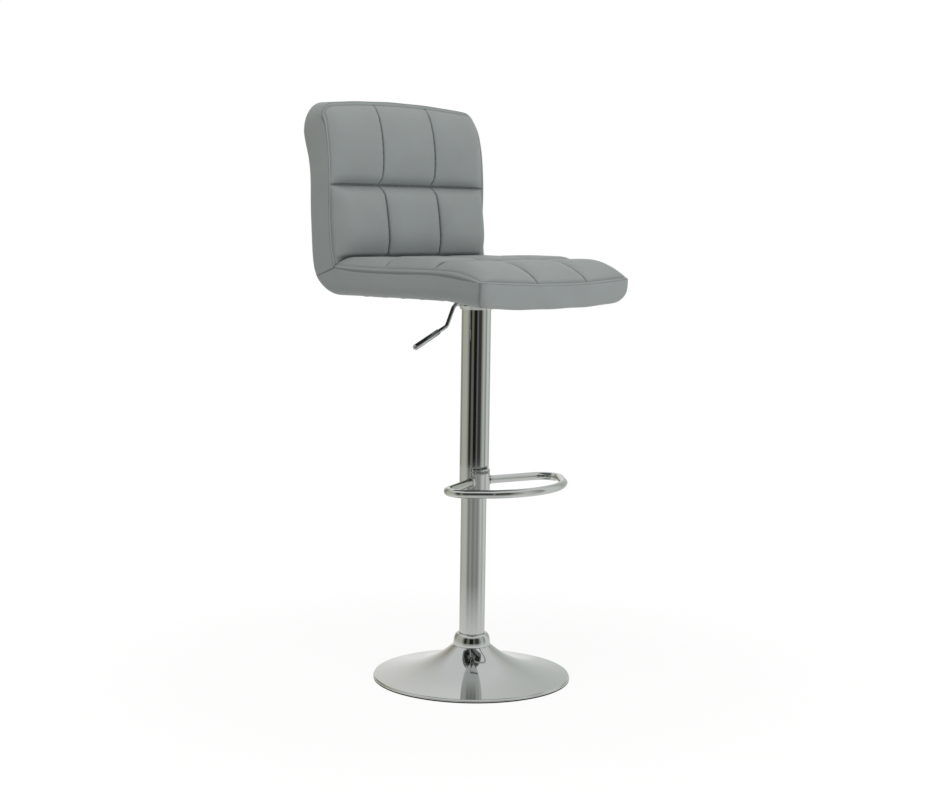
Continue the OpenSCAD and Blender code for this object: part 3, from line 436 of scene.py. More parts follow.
def near_channels(spots, cushion):
    """Nearness to the sewn channels, and the distance from them, at each place on a cushion's face."""
    u, v = spots[:, :2].T
    nearness = np.zeros(len(u))
    distance = np.full(len(u), np.inf)
    for line in PANEL_LINES:
        d = np.abs(u - line) * HALF_W
        nearness = np.maximum(nearness, bell(d, CHANNEL_SPREAD))
        distance = np.minimum(distance, d)
    fade = mix(cushion["row_share"], 1, edge_hill(u))
    for row in cushion["rows"][1:-1]:
        d = np.abs(v - row) * cushion["length"]
        nearness = np.maximum(nearness, bell(d, CHANNEL_SPREAD) * fade)
        distance = np.minimum(distance, d)
    return nearness, distance


def sewn(spots, cushion):
    """Depth of the sewing at each place on a cushion, and painted shade along its seams, stitch lines and
    channels.
    """
    u, v, w = spots.T
    on_face = w < TOUCH
    on_band = (np.abs(u) > 1 - TOUCH) & ~on_face
    on_end = (np.abs(cushion["free_end"] - v) < TOUCH) & ~on_face & (w < 1 - TOUCH)
    side = HALF_W * (1 - np.abs(u))
    to_end = np.abs(cushion["free_end"] - v) * cushion["length"]
    to_mitre = cushion["length"] - to_end
    edge = np.where(on_face, np.minimum(side, to_end), w * cushion["thick"])
    seam = bell(edge, SEAM_SPREAD)
    seam = np.maximum(seam, bell(to_mitre, SEAM_SPREAD) * on_band)
    if cushion["corner_in"]:
        seam = np.maximum(seam, bell(side - cushion["corner_in"], SEAM_SPREAD) * on_end)
    stitch = bell(edge - STITCH_SET_BACK, STITCH_SPREAD) * on_face
    nearness, distance = near_channels(spots, cushion)
    channel = nearness * np.clip(2 * edge / STITCH_SET_BACK - 1, 0, 1) * on_face
    inside = np.clip((edge - STITCH_SET_BACK) / STITCH_SET_BACK, 0, 1) * on_face
    wander = PUCKER_WANDER * np.sin(PUCKER_WAVES[0] * u + PUCKER_WAVES[1] * v)
    ridges = np.sin(2 * math.pi * (u * HALF_W + v * cushion["length"]) / PUCKER_LENGTH + wander)
    puckers = ridges * np.exp(-np.minimum(distance, edge) / PUCKER_REACH) * inside
    depth = SEAM_DEPTH * seam + STITCH_DEPTH * stitch + CHANNEL_DEPTH * channel + PUCKER_DEPTH * puckers
    # The second value is painted shade for the leather's colour: full in the seams and channels, a share of
    # it on the stitch lines
    return depth, np.maximum.reduce([seam, STITCH_SHADE * stitch, channel])


def cover(cushion, material):
    """A closed cover with crowned panels, sewn channels and seams, with painted shade along the sewing kept
    on its vertices.
    """
    end_marks = [STITCH_SET_BACK - STITCH_SPREAD, STITCH_SET_BACK, STITCH_SET_BACK + STITCH_SPREAD]
    corner_in = cushion["corner_in"] + SEAM_SPREAD
    side_marks = end_marks + [corner_in, corner_in + SEAM_SPREAD]
    far_marks = [SEAT_W - m for m in side_marks]
    across = 2 * places(SEAT_ROW_SHARES, SEAT_W, side_marks + far_marks) - 1
    row_marks = [abs(cushion["length"] * cushion["free_end"] - m) for m in end_marks]
    along = places(cushion["rows"], cushion["length"], row_marks)
    through = 0.5 - 0.5 * np.cos(np.linspace(0, math.pi, BAND_CELLS + 1))
    corners, faces = lattice(across, along, through)
    piece = new_piece(cushion["name"], cushion["surface"](*corners.T), faces, material)
    # dark is painted shade along the seams, stitch lines and channels
    depth, dark = sewn(corners, cushion)
    base = of_vertices(piece, "co")
    loose = (1 - dark) * np.clip(corners[:, 2] / SLACK_GROWTH, SLACK_ON_FACE, 1)
    slack = SLACK_DEPTH * slow_noise(base, SLACK_SCALE, cushion["length"]) * loose
    moved = base + of_vertices(piece, "normal") * (slack - depth)[:, None]
    piece.data.vertices.foreach_set("co", moved.astype(np.float32).ravel())
    piece.data.update()
    # Painted shade along the seams, stitch lines and channels, which darkens the leather's colour
    attribute = piece.data.attributes.new("painted_seam_shade", "FLOAT", "POINT")
    attribute.data.foreach_set("value", dark.astype(np.float32))
    return piece


# What differs between the covers. corner_in is how far from the side the upright seams of the free end lie,
# and row_share is how much of the seams between rows is left at the sides.
SEAT = {"name": "seat_cover", "surface": seat_surface, "rows": SEAT_ROW_SHARES, "length": SEAT_LEN,
        "thick": SEAT_THICK, "free_end": 0, "corner_in": 0.002, "row_share": 0.3}
BACK = {"name": "back_cover", "surface": back_surface, "rows": BACK_ROW_SHARES, "length": BACK_H,
        "thick": BACK_THICK, "free_end": 1, "corner_in": 0, "row_share": 1}


def run_on(surface, u, v, w):
    """Points and outward normals of a run over a cushion's face, from the cover's own shape."""
    step = 1e-3
    here = surface(u, v, w)
    du = surface(np.clip(u + step, -1, 1), v, w) - surface(np.clip(u - step, -1, 1), v, w)
    dv = surface(u, np.clip(v + step, 0, 1), w) - surface(u, np.clip(v - step, 0, 1), w)
    normal = np.cross(du, dv)
    return here, normal / np.linalg.norm(normal, axis=1)[:, None]


def tube_faces(first, rings, sides):
    """Faces of a closed tube, from its first vertex on, one ring of vertices after the other."""
    faces = []
    for k in range(rings - 1):
        for turn in range(sides):
            a = first + k * sides + turn
            b = first + k * sides + (turn + 1) % sides
            faces.append([a, b, b + sides, a + sides])
    last = first + (rings - 1) * sides
    return faces + [list(range(first, first + sides)), list(range(last, last + sides))]


def stitch_row(points, normals):
    """Vertices and faces of the stitches along a run of points."""
    steps = np.linalg.norm(np.diff(points, axis=0), axis=1)
    places_along = np.concatenate([[0], np.cumsum(steps)])
    made, faces = [], []

    def value_at(place, rows):
        return np.array([np.interp(place, places_along, rows[:, c]) for c in range(3)])

    for k in range(int(places_along[-1] / STITCH_PITCH)):
        at = (k + 0.5) * STITCH_PITCH
        middle = value_at(at, points)
        along = value_at(at + THREAD_R, points) - middle
        along = along / np.linalg.norm(along)
        side = np.cross(along, value_at(at, normals))
        side = side / np.linalg.norm(side)
        up = np.cross(side, along)
        first = len(made)
        for place, share in STITCH_SHAPE:
            sink = STITCH_SINK * THREAD_R * (2 * place) ** 2
            centre = middle + along * place * STITCH_LEN - up * sink
            for turn in range(STITCH_SIDES):
                angle = 2 * math.pi * turn / STITCH_SIDES
                made.append(centre + share * THREAD_R * (side * math.cos(angle) + up * math.sin(angle)))
        faces += tube_faces(first, len(STITCH_SHAPE), STITCH_SIDES)
    return made, faces


def stitches(name, runs, material):
    """Stitches along several runs, as one piece."""
    points, faces = [], []
    for run_points, run_normals in runs:
        made, made_faces = stitch_row(run_points, run_normals)
        faces += [[i + len(points) for i in f] for f in made_faces]
        points += made
    return new_piece(name, points, faces, material)


# Turned and bent metal

def lathe(name, profile, sides, material):
    """A closed ring of revolution around the Z axis, from a closed list of (radius, height)."""
    points, faces = [], []
    for turn in range(sides):
        angle = 2 * math.pi * turn / sides
        points += [(r * math.cos(angle), r * math.sin(angle), z) for r, z in profile]
    n = len(profile)
    for turn in range(sides):
        for i in range(n):
            a = turn * n + i
            b = turn * n + (i + 1) % n
            c = (turn + 1) % sides * n
            faces.append([a, b, c + (i + 1) % n, c + i])
    return new_piece(name, points, faces, material)


def rounded_path(corners, radii, steps):
    """Points along straight runs with a round bend at each inner corner."""
    path = [Vector(corners[0])]
    for before, here, after, radius in zip(corners, corners[1:], corners[2:], radii):
        here = Vector(here)
        back = (Vector(before) - here).normalized()
        on = (Vector(after) - here).normalized()
        half = back.angle(on) / 2
        reach = radius / math.tan(half)
        centre = here + (back + on).normalized() * radius / math.sin(half)
        start = here + back * reach - centre
        whole_turn = start.rotation_difference(here + on * reach - centre)
        for k in range(steps + 1):
            path.append(centre + Quaternion(whole_turn.axis, whole_turn.angle * k / steps) @ start)
    path.append(Vector(corners[-1]))
    return path


def sweep(name, path, radii, sides, material):
    """A closed tube along a path, with a radius at each of its points."""
    points = []
    side = (path[1] - path[0]).normalized().orthogonal().normalized()
    for k in range(len(path)):
        ahead = (path[min(k + 1, len(path) - 1)] - path[max(k - 1, 0)]).normalized()
        side = (side - ahead * side.dot(ahead)).normalized()
        up = ahead.cross(side)
        for turn in range(sides):
            angle = 2 * math.pi * turn / sides
            points.append(path[k] + radii[k] * (side * math.cos(angle) + up * math.sin(angle)))
    return new_piece(name, points, tube_faces(0, len(path), sides), material)


def soften(piece, degrees):
    """Smooth shading with sharp edges kept where faces meet at more than an angle."""
    mesh = piece.data
    whole = bmesh.new()
    whole.from_mesh(mesh)
    limit = math.radians(degrees)
    sharp = [e.index for e in whole.edges if len(e.link_faces) == 2 and e.calc_face_angle(0) > limit]
    whole.free()
    for i in sharp:
        mesh.edges[i].use_edge_sharp = True


# Materials

def nodes_of(name, **values):
    """A new material, its node tree and its shader, with values for the shader's inputs by name."""
    material = bpy.data.materials.new(name)
    material.use_nodes = True
    shader = material.node_tree.nodes["Principled BSDF"]
    for socket, value in values.items():
        shader.inputs[socket.replace("_", " ")].default_value = value
    return material, material.node_tree, shader


def add_node(tree, kind, **values):
    """A shader node, with values for its properties or, by name, for its inputs."""
    node = tree.nodes.new(kind)
    for name, value in values.items():
        if hasattr(node, name):
            setattr(node, name, value)
        else:
            node.inputs[name.replace("_", " ")].default_value = value
    return node


def place_node(tree):
    return add_node(tree, "ShaderNodeTexCoord").outputs["Object"]


def texture(tree, kind, **values):
    """A texture node that is laid out in the piece's own places."""
    node = add_node(tree, kind, **values)
    tree.links.new(place_node(tree), node.inputs["Vector"])
    return node


def noise(tree, scale, detail=3, roughness=0.5):
    node = texture(tree, "ShaderNodeTexNoise", Scale=scale, Detail=detail, Roughness=roughness)
    return node.outputs["Fac"]


def ramp(tree, source, stops):
    """A colour ramp through (place, colour or grey) stops."""
    node = add_node(tree, "ShaderNodeValToRGB")
    tree.links.new(source, node.inputs["Fac"])
    elements = node.color_ramp.elements
    while len(elements) < len(stops):
        elements.new(0.5)
    for element, (place, colour) in zip(elements, stops):
        element.position = place
        element.color = (*colour, 1) if hasattr(colour, "__len__") else (colour, colour, colour, 1)
    return node.outputs["Color"]


def spread(tree, source, low, high):
    """Maps 0 to 1 onto low to high."""
    node = add_node(tree, "ShaderNodeMapRange", To_Min=low, To_Max=high)
    tree.links.new(source, node.inputs["Value"])
    return node.outputs["Result"]


def paint(tree, shader, source, stops):
    """Colours a shader by a ramp."""
    tree.links.new(ramp(tree, source, stops), shader.inputs["Base Color"])


def gloss(tree, shader, scale, low, high):
    """Lets a shader's roughness wander between two values."""
    tree.links.new(spread(tree, noise(tree, scale), low, high), shader.inputs["Roughness"])


def bump(tree, shader, source, distance, strength=1.0):
    node = add_node(tree, "ShaderNodeBump", Strength=strength, Distance=distance)
    tree.links.new(source, node.inputs["Height"])
    tree.links.new(node.outputs["Normal"], shader.inputs["Normal"])


def join(tree, value, socket):
    """Links a socket to an input, or gives the input a fixed value."""
    if hasattr(value, "node"):
        tree.links.new(value, socket)
    else:
        socket.default_value = value


def maths(tree, operation, *values):
    node = add_node(tree, "ShaderNodeMath", operation=operation)
    for value, socket in zip(values, node.inputs):
        join(tree, value, socket)
    return node.outputs["Value"]


def mix_colours(tree, factor, first, second, how="MIX"):
    node = add_node(tree, "ShaderNodeMix", data_type="RGBA", blend_type=how)
    join(tree, factor, node.inputs["Factor"])
    join(tree, first, node.inputs["A"])
    join(tree, second, node.inputs["B"])
    return node.outputs["Result"]


def shade(colour, factor):
    return tuple(c * factor for c in colour)


def metal(name, colour, roughness, grain, scale, depth=0.0):
    """Metal with clouded gloss: grain is how far the roughness strays."""
    material, tree, shader = nodes_of(name, Metallic=1)
    paint(tree, shader, noise(tree, scale / 6), [(0.3, shade(colour, 0.96)), (0.7, colour)])
    gloss(tree, shader, scale, roughness, roughness + grain)
    if depth:
        bump(tree, shader, noise(tree, scale * 8, 5), depth)
    return material


LEATHER_COLOUR = (0.262, 0.286, 0.290)
# Colour of the painted shade along the seams, stitch lines and channels
SEAM_SHADE_TINT = (0.42, 0.44, 0.45)
PEBBLE_SHARE = 0.6


def leather():
    """Fine grained imitation leather, with painted shade along its seams, stitch lines and channels."""
    material, tree, shader = nodes_of("grey_imitation_leather", Specular_IOR_Level=0.35,
                                      Sheen_Weight=0.12, Sheen_Roughness=0.5)
    stops = [(0.3, shade(LEATHER_COLOUR, 0.965)), (0.7, shade(LEATHER_COLOUR, 1.03))]
    cloud = ramp(tree, noise(tree, scale=14, detail=4), stops)
    # Painted shade: the colour is multiplied by the seam tint along the seams, stitch lines and channels
    seam = add_node(tree, "ShaderNodeAttribute", attribute_name="painted_seam_shade")
    shade_share = spread(tree, seam.outputs["Fac"], 0, SEAM_SHADE)
    shaded = mix_colours(tree, shade_share, cloud, (*SEAM_SHADE_TINT, 1), "MULTIPLY")
    tree.links.new(shaded, shader.inputs["Base Color"])
    pebbles = texture(tree, "ShaderNodeTexVoronoi", feature="DISTANCE_TO_EDGE", Scale=900)
    grain = ramp(tree, pebbles.outputs["Distance"], [(0, 0), (0.16, 1)])
    fine = noise(tree, scale=260, detail=4, roughness=0.6)
    height = maths(tree, "MULTIPLY_ADD", grain, PEBBLE_SHARE, fine)
    bump(tree, shader, height, distance=0.00012, strength=0.6)
    gloss(tree, shader, scale=420, low=0.42, high=0.56)
    return material


def thread():
    """Grey thread with its twist as a wave."""
    material, tree, shader = nodes_of("grey_thread", Sheen_Weight=0.3)
    tone = texture(tree, "ShaderNodeTexWave", Scale=1400, Distortion=1.5)
    paint(tree, shader, tone.outputs["Fac"], [(0.2, (0.13, 0.145, 0.145)), (0.8, (0.2, 0.22, 0.22))])
    gloss(tree, shader, scale=900, low=0.55, high=0.7)
    bump(tree, shader, tone.outputs["Fac"], distance=0.00008)
    return material


def dull(name, dark, light, roughness, scale, depth):
    """Rubber, paint, plastic and castings: a mottled colour with a fine bump."""
    material, tree, shader = nodes_of(name)
    paint(tree, shader, noise(tree, scale, 5), [(0.3, dark), (0.7, light)])
    gloss(tree, shader, scale * 2, roughness, roughness + 0.12)
    bump(tree, shader, noise(tree, scale * 4, 4), depth)
    return material


def plywood():
    material, tree, shader = nodes_of("moulded_plywood")
    grain = texture(tree, "ShaderNodeTexWave", bands_direction="X", Scale=38, Distortion=5, Detail=4)
    stops = [(0, (0.35, 0.21, 0.1)), (0.5, (0.52, 0.35, 0.19)), (1, (0.63, 0.46, 0.28))]
    paint(tree, shader, grain.outputs["Fac"], stops)
    gloss(tree, shader, scale=80, low=0.5, high=0.7)
    bump(tree, shader, grain.outputs["Fac"], distance=0.0002)
    return material


def dust_cloth():
    """Thin pressed cloth with a dotted bond pattern."""
    material, tree, shader = nodes_of("black_dust_cloth", Sheen_Weight=0.2)
    dots = texture(tree, "ShaderNodeTexVoronoi", Scale=420)
    paint(tree, shader, dots.outputs["Distance"], [(0.1, 0.008), (0.5, 0.022)])
    gloss(tree, shader, scale=300, low=0.75, high=0.95)
    bump(tree, shader, dots.outputs["Distance"], distance=0.00015)
    return material


CHROME = metal("polished_chrome", (0.56, 0.575, 0.565), roughness=0.035, grain=0.03, scale=40)
LEATHER = leather()
THREAD = thread()
DUST_CLOTH = dust_cloth()
FINISHES = {
    "chrome": CHROME,
    "rubber": dull("black_rubber", 0.012, 0.02, 0.62, 240, 0.0001),
    "ballast": dull("painted_casting", 0.02, 0.035, 0.5, 90, 0.0004),
    "bare_steel": metal("bare_steel", (0.46, 0.47, 0.48), 0.28, 0.15, 160, 0.00005),
    "zinc": metal("zinc_plate", (0.55, 0.55, 0.5), 0.3, 0.2, 120, 0.00004),
    "bush_plastic": dull("black_plastic", 0.018, 0.026, 0.4, 200, 0.00006),
    "brass": metal("stamped_brass", (0.6, 0.43, 0.16), 0.25, 0.12, 150, 0.00004),
    "black_paint": dull("black_paint", 0.014, 0.02, 0.3, 150, 0.00005),
    "plywood": plywood(),
    "upholstery": LEATHER,
    "dust_cloth": DUST_CLOTH,
}
for row in frame["record"]["subparts"]:
    node = frame["nodes"][row["node"]]
    node.data.materials.clear()
    node.data.materials.append(FINISHES[row["material_slot"]])


# Upholstery

for piece, node in ((cover(SEAT, LEATHER), "seat_cushion"), (cover(BACK, LEATHER), "back_cushion")):
    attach(piece, "seat")
    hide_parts(node)


def edge_runs(surface, length, free_end):
    """Runs of the stitches beside the seam: up one side, across the free end and down the other side."""
    in_u = 1 - STITCH_SET_BACK / HALF_W
    in_v = STITCH_SET_BACK / length
    v_line = abs(free_end - in_v)
    other = 1 - free_end
    level = np.zeros(STITCH_RUN_POINTS)
    there = np.linspace(other, v_line, STITCH_RUN_POINTS)
    over = np.linspace(-in_u, in_u, STITCH_RUN_POINTS)
    back = np.linspace(v_line, other, STITCH_RUN_POINTS)
    return [run_on(surface, level - in_u, there, level),
            run_on(surface, over, level + v_line, level),
            run_on(surface, level + in_u, back, level)]


def facing(run, direction):
    """A run with its normals turned to a direction, and sunk a little into the groove of the stitches."""
    points, normals = run
    if normals[0] @ np.array(direction) <= 0:
        normals = -normals
    return points - normals * STITCH_DEPTH * STITCH_SETTLE, normals


for name, cushion, outward in (("seat_topstitch", SEAT, (0, 0, 1)), ("back_topstitch", BACK, (0, -1, 0))):
    runs = edge_runs(cushion["surface"], cushion["length"], cushion["free_end"])
    row = stitches(name, [facing(run, outward) for run in runs], THREAD)
    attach(row, "seat")


# Base and column

BASE_R = (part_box("base_dish")[1].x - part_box("base_dish")[0].x) / 2
RIM_TOP = 0.005
EDGE_RING_H = 0.0026
DISH_T = 0.002
DISH_SLOPE = 0.13
DISH_STEPS = 90
DISH_SIDES = 256
FLARE_H = 0.040
FLARE_RUN = 0.050
NECK_R = 0.038
COLUMN_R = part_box("column_tube")[1].x
FIT = 0.0002
# Small steps at the neck and the rim. The inside has every third point of the outside, a little further in.
NECK_STEP = 0.001
RIM_STEP = 0.0002
INSIDE_SET_IN = 0.0006
INSIDE_EVERY = 3


def dish_z(r):
    """Height of the base's top: a straight slope and a flare toward the column."""
    return RIM_TOP + DISH_SLOPE * (BASE_R - r) + FLARE_H * math.exp(-(r - NECK_R) / FLARE_RUN)


def dish_profile():
    """Outline of the base's sheet: its outside from the column to the rim, then its inside."""
    radii = np.linspace(NECK_R, BASE_R - DISH_T, DISH_STEPS)
    profile = [(COLUMN_R + FIT, dish_z(NECK_R)), (NECK_R - NECK_STEP, dish_z(NECK_R))]
    profile += [(r, dish_z(r)) for r in radii]
    for a in np.radians(np.linspace(25, 90, num=8)):
        z = RIM_TOP - DISH_T + DISH_T * math.cos(a) + RIM_STEP
        profile.append((BASE_R - DISH_T + DISH_T * math.sin(a), z))
    profile += [(BASE_R, EDGE_RING_H), (BASE_R - DISH_T, EDGE_RING_H)]
    profile += [(r - INSIDE_SET_IN, dish_z(r) - DISH_T) for r in radii[::-1][::INSIDE_EVERY]]
    return profile + [(COLUMN_R + FIT, dish_z(NECK_R) - DISH_T)]


dish = lathe("trumpet_base", dish_profile(), DISH_SIDES, CHROME)
soften(dish, degrees=40)
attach(dish, "stand")
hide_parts("base_dish")

TRIM_EDGE = 0.002
TRIM_LIP = 0.0008
TRIM_POWER = 0.9
TRIM_SIDES = 160


def trim_profile():
    """Outline of the ring at the column's foot: a straight bore and a rounded outside."""
    low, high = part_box("column_trim_ring")
    mouth = COLUMN_R + TRIM_EDGE
    profile = [(COLUMN_R + FIT, high.z - TRIM_LIP), (COLUMN_R + FIT, low.z)]
    for a in np.radians(np.linspace(0, 90, num=25)):
        outward, upward = math.cos(a) ** TRIM_POWER, math.sin(a) ** TRIM_POWER
        profile.append((mix(mouth, high.x, outward), mix(low.z, high.z, upward)))
    return profile


trim = lathe("trim_ring", trim_profile(), TRIM_SIDES, CHROME)
soften(trim, degrees=40)
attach(trim, "stand")
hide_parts("column_trim_ring")


# Footrest

SLEEVE_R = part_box("sleeve_tube")[1].x
FOOT_LOW, FOOT_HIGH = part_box("footrest_loop")
FOOT_R = (FOOT_HIGH.z - FOOT_LOW.z) / 2
FOOT_Z = (FOOT_HIGH.z + FOOT_LOW.z) / 2
SADDLE_T = 0.0025
SADDLE_R = SLEEVE_R + FIT / 2 + SADDLE_T
ARM_ANGLE = math.radians(60)
ARM_LEAN = math.radians(18)
ARM_LEN = 0.103
WIDE_R = 0.034
WIDE_TURN = math.radians(116)
SIDE_LEN = 0.0465
FRONT_R = 0.039
FRONT_TURN = math.radians(10)
FOOT_SIDES = 40
# The weld: its swell, how fast that dies away, the tube's start inside the saddle and the close steps there
WELD_SWELL = 0.0024
WELD_RUN = 0.0024
WELD_SINK = 0.0015
WELD_PLACES = (0.0, 0.0006, 0.0012, 0.002, 0.003, 0.0045, 0.007, 0.01, 0.02)


def heading(a):
    """Level direction at the angle a from +X."""
    return Vector((math.cos(a), math.sin(a), 0))


def right_of(a):
    """Level direction square to a heading, on its right."""
    return Vector((math.sin(a), -math.cos(a), 0))


def turn(path, start, head, radius, angle, steps):
    """Adds a bend to the right to a level path and returns its end and heading."""
    centre = start + radius * right_of(head)
    for k in range(1, steps + 1):
        path.append(centre - radius * right_of(head - angle * k / steps))
    return path[-1], head - angle


def straight(path, start, end, steps):
    for k in range(1, steps + 1):
        path.append(start.lerp(end, k / steps))


def foot_path():
    """Middle line of the footrest: one half from the saddle to the front, and its mirror image."""
    head = -ARM_LEAN
    root = SADDLE_R * right_of(ARM_ANGLE)
    path = [root - WELD_SINK * heading(head)]
    path += [root + place * heading(head) for place in WELD_PLACES]
    end = root + ARM_LEN * heading(head)
    straight(path, path[-1], end, steps=12)
    here, head = turn(path, end, head, WIDE_R, WIDE_TURN, steps=32)
    side_end = here + SIDE_LEN * heading(head)
    straight(path, here, side_end, steps=8)
    here, head = turn(path, side_end, head, FRONT_R, FRONT_TURN, steps=16)
    left = math.pi + head
    turn(path, here, head, here.x / math.sin(left), left, steps=30)
    mirrored = [Vector((-p.x, p.y, 0)) for p in reversed(path[:-1])]
    return [p + Vector((0, 0, FOOT_Z)) for p in path + mirrored]


loop_path = foot_path()
reached = [0.0]
for a, b in zip(loop_path, loop_path[1:]):
    reached.append(reached[-1] + (b - a).length)
loop_radii = [FOOT_R + WELD_SWELL * math.exp(-min(s, reached[-1] - s) / WELD_RUN) for s in reached]
loop = sweep("footrest_ring", loop_path, loop_radii, FOOT_SIDES, CHROME)
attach(loop, "seat")
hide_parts("footrest_loop")


# Saddle plate: half its turn around the sleeve, its corners, the soft stretch at its edges and its cells
SADDLE_HALF_ANGLE = math.radians(64)
SADDLE_CORNER = 0.009
SADDLE_SOFT = 0.0016
SADDLE_EDGE_CUT = 0.55
SADDLE_ACROSS = 72
SADDLE_UP = 28


def saddle_shape():
    """Points and faces of a curved plate with rounded corners and soft edges, bent around the sleeve."""
    low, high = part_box("footrest_saddle")
    inner = SLEEVE_R + FIT / 2
    outer = inner + SADDLE_T
    half_w, half_h = SADDLE_HALF_ANGLE * outer, (high.z - low.z) / 2
    across, up = SADDLE_ACROSS, SADDLE_UP
    points, faces = [], []

    def plan(a, b):
        """A place in the plate's flat outline, from a place in a square."""
        x, z = a * half_w, b * half_h
        dx = max(0, abs(x) - half_w + SADDLE_CORNER)
        dz = max(0, abs(z) - half_h + SADDLE_CORNER)
        far = max(dx, dz)
        if far > 0:
            shrink = far / math.hypot(dx, dz)
            x -= math.copysign(dx * (1 - shrink), x)
            z -= math.copysign(dz * (1 - shrink), z)
        return x, z

    def shares(n):
        """Places from -1 to 1, closer together at both ends."""
        return [math.sin(math.pi / 2 * (2 * k / n - 1)) for k in range(n + 1)]

    for side in (0, 1):
        for b in shares(up):
            for a in shares(across):
                x, z = plan(a, b)
                rim = min(half_w * (1 - abs(a)), half_h * (1 - abs(b)))
                thick = SADDLE_T * (1 - SADDLE_EDGE_CUT * (1 - min(rim / SADDLE_SOFT, 1)) ** 2)
                r = inner + (thick if side else 0)
                angle = x / outer - math.pi / 2
                points.append((r * math.cos(angle), r * math.sin(angle), (low.z + high.z) / 2 + z))
    row, layer = across + 1, (across + 1) * (up + 1)
    for side in (0, 1):
        for j in range(up):
            for i in range(across):
                a = side * layer + j * row + i
                faces.append([a, a + 1, a + row + 1, a + row])
    rim = list(range(across)) + [j * row + across for j in range(up)]
    rim += [up * row + across - i for i in range(across)] + [(up - j) * row for j in range(up)]
    for a, b in zip(rim, rim[1:] + rim[:1]):
        faces.append([a, b, b + layer, a + layer])
    return points, faces


saddle = new_piece("saddle_plate", *saddle_shape(), CHROME)
soften(saddle, degrees=45)
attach(saddle, "seat")
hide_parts("footrest_saddle")


# Release lever

LEVER_R = 0.00375
LEVER_Z = 0.734085
LEVER_POINTS = [(0.0032, LEVER_Z), (-0.059, LEVER_Z), (-0.067, 0.7276), (-0.0853, 0.69316),
                (-0.17564, 0.65519)]
LEVER_BENDS = [0.007, 0.007, 0.012]
LEVER_SIDES = 28
HANDLE_LEN = 0.098
GRIP_SWELL = 0.0004
GRIP_R = (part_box("lever_grip")[1].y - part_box("lever_grip")[0].y) / 2 + GRIP_SWELL
GRIP_LEN = 0.073
GRIP_SIDES = 36
# Rounded foot of the grip: pairs of a distance along it and a radius
GRIP_FOOT = [(0, LEVER_R + 0.0001), (0.0001, GRIP_R - 0.0014), (0.0005, GRIP_R - 0.0006), (0.0013, GRIP_R)]

lever_corners = [Vector((x, 0, z)) for x, z in LEVER_POINTS]
handle = (lever_corners[4] - lever_corners[3]).normalized()
lever_corners[4] = lever_corners[4] - handle * GRIP_R
lever_path = rounded_path(lever_corners, LEVER_BENDS, steps=10)
rod = sweep("release_lever", lever_path, [LEVER_R] * len(lever_path), LEVER_SIDES, CHROME)
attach(rod, "lever")
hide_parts("lever_rod")

grip_start = lever_corners[3] + handle * (HANDLE_LEN - GRIP_LEN)
grip_end = [(GRIP_LEN - GRIP_R + GRIP_R * math.sin(a), GRIP_R * math.cos(a))
            for a in np.radians(np.linspace(0, 88, num=14))]
grip_path = [grip_start + handle * s for s, r in GRIP_FOOT + grip_end]
grip = sweep("lever_handle", grip_path, [r for s, r in GRIP_FOOT + grip_end], GRIP_SIDES, CHROME)
soften(grip, degrees=50)
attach(grip, "lever")
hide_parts("lever_grip")


# Dust cover

# Half the side of the square opening, height above the CAD sheet, sag with its share of waves, and how far
# from the edge and from the opening the full sag is reached
DUST_HOLE = 0.075
DUST_LIFT = 0.0003
DUST_SAG = 0.0009
DUST_WAVES = 0.6
DUST_EDGE_RUN = 0.03
DUST_HOLE_RUN = 0.02
DUST_ACROSS = 92
DUST_ALONG = 72


def dust_sheet(low, high):
    """Points and faces of thin cloth pulled tight between its staples, open around the steel plate."""
    hole = [-DUST_HOLE, DUST_HOLE]
    xs = np.unique(np.concatenate([np.linspace(low.x, high.x, DUST_ACROSS), hole]))
    ys = np.unique(np.concatenate([np.linspace(low.y, high.y, DUST_ALONG), hole]))
    index, points, faces = {}, [], []
    for j, y in enumerate(ys):
        for i, x in enumerate(xs):
            edge = min(x - low.x, high.x - x, y - low.y, high.y - y)
            inner = max(abs(x), abs(y)) - DUST_HOLE
            free = min(1, max(0, edge) / DUST_EDGE_RUN) * min(1, max(0, inner) / DUST_HOLE_RUN)
            # Made-up waves
            wave = math.sin(48 * x + 2 * math.sin(31 * y)) * math.cos(37 * y - 9 * x)
            index[i, j] = len(points)
            points.append((x, y, low.z + DUST_LIFT - free * DUST_SAG * (1 + DUST_WAVES * wave)))
    for j in range(len(ys) - 1):
        for i in range(len(xs) - 1):
            mid_x, mid_y = (xs[i] + xs[i + 1]) / 2, (ys[j] + ys[j + 1]) / 2
            if max(abs(mid_x), abs(mid_y)) > DUST_HOLE:
                faces.append([index[i, j], index[i + 1, j], index[i + 1, j + 1], index[i, j + 1]])
    used = sorted({i for f in faces for i in f})
    renamed = {old: new for new, old in enumerate(used)}
    return [points[i] for i in used], [[renamed[i] for i in f] for f in faces]


dust_low, dust_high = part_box("dust_cover")
dust = new_piece("dust_sheet", *dust_sheet(dust_low, dust_high), DUST_CLOTH)
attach(dust, "seat")
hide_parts("dust_cover")


# Stage, lamps and camera

FLOOR_R = 2.9
FLOOR_SIDES = 128
FLOOR_GLOW = 1.03
SHADOW_SHARE = 0.14
# Distances from the column at which the floor's shadow fades out, and beyond which metal looks past the floor
SHADOW_FADE = (0.5, 1.3)
MIRROR_FADE = (0.3, 0.9)
# Share of the glow, and share of the way past the floor, that metal sees
MIRROR_GLOW = 0.58
MIRROR_GAP = 0.66
LAMP_AIM = (0, 0, 0.8)


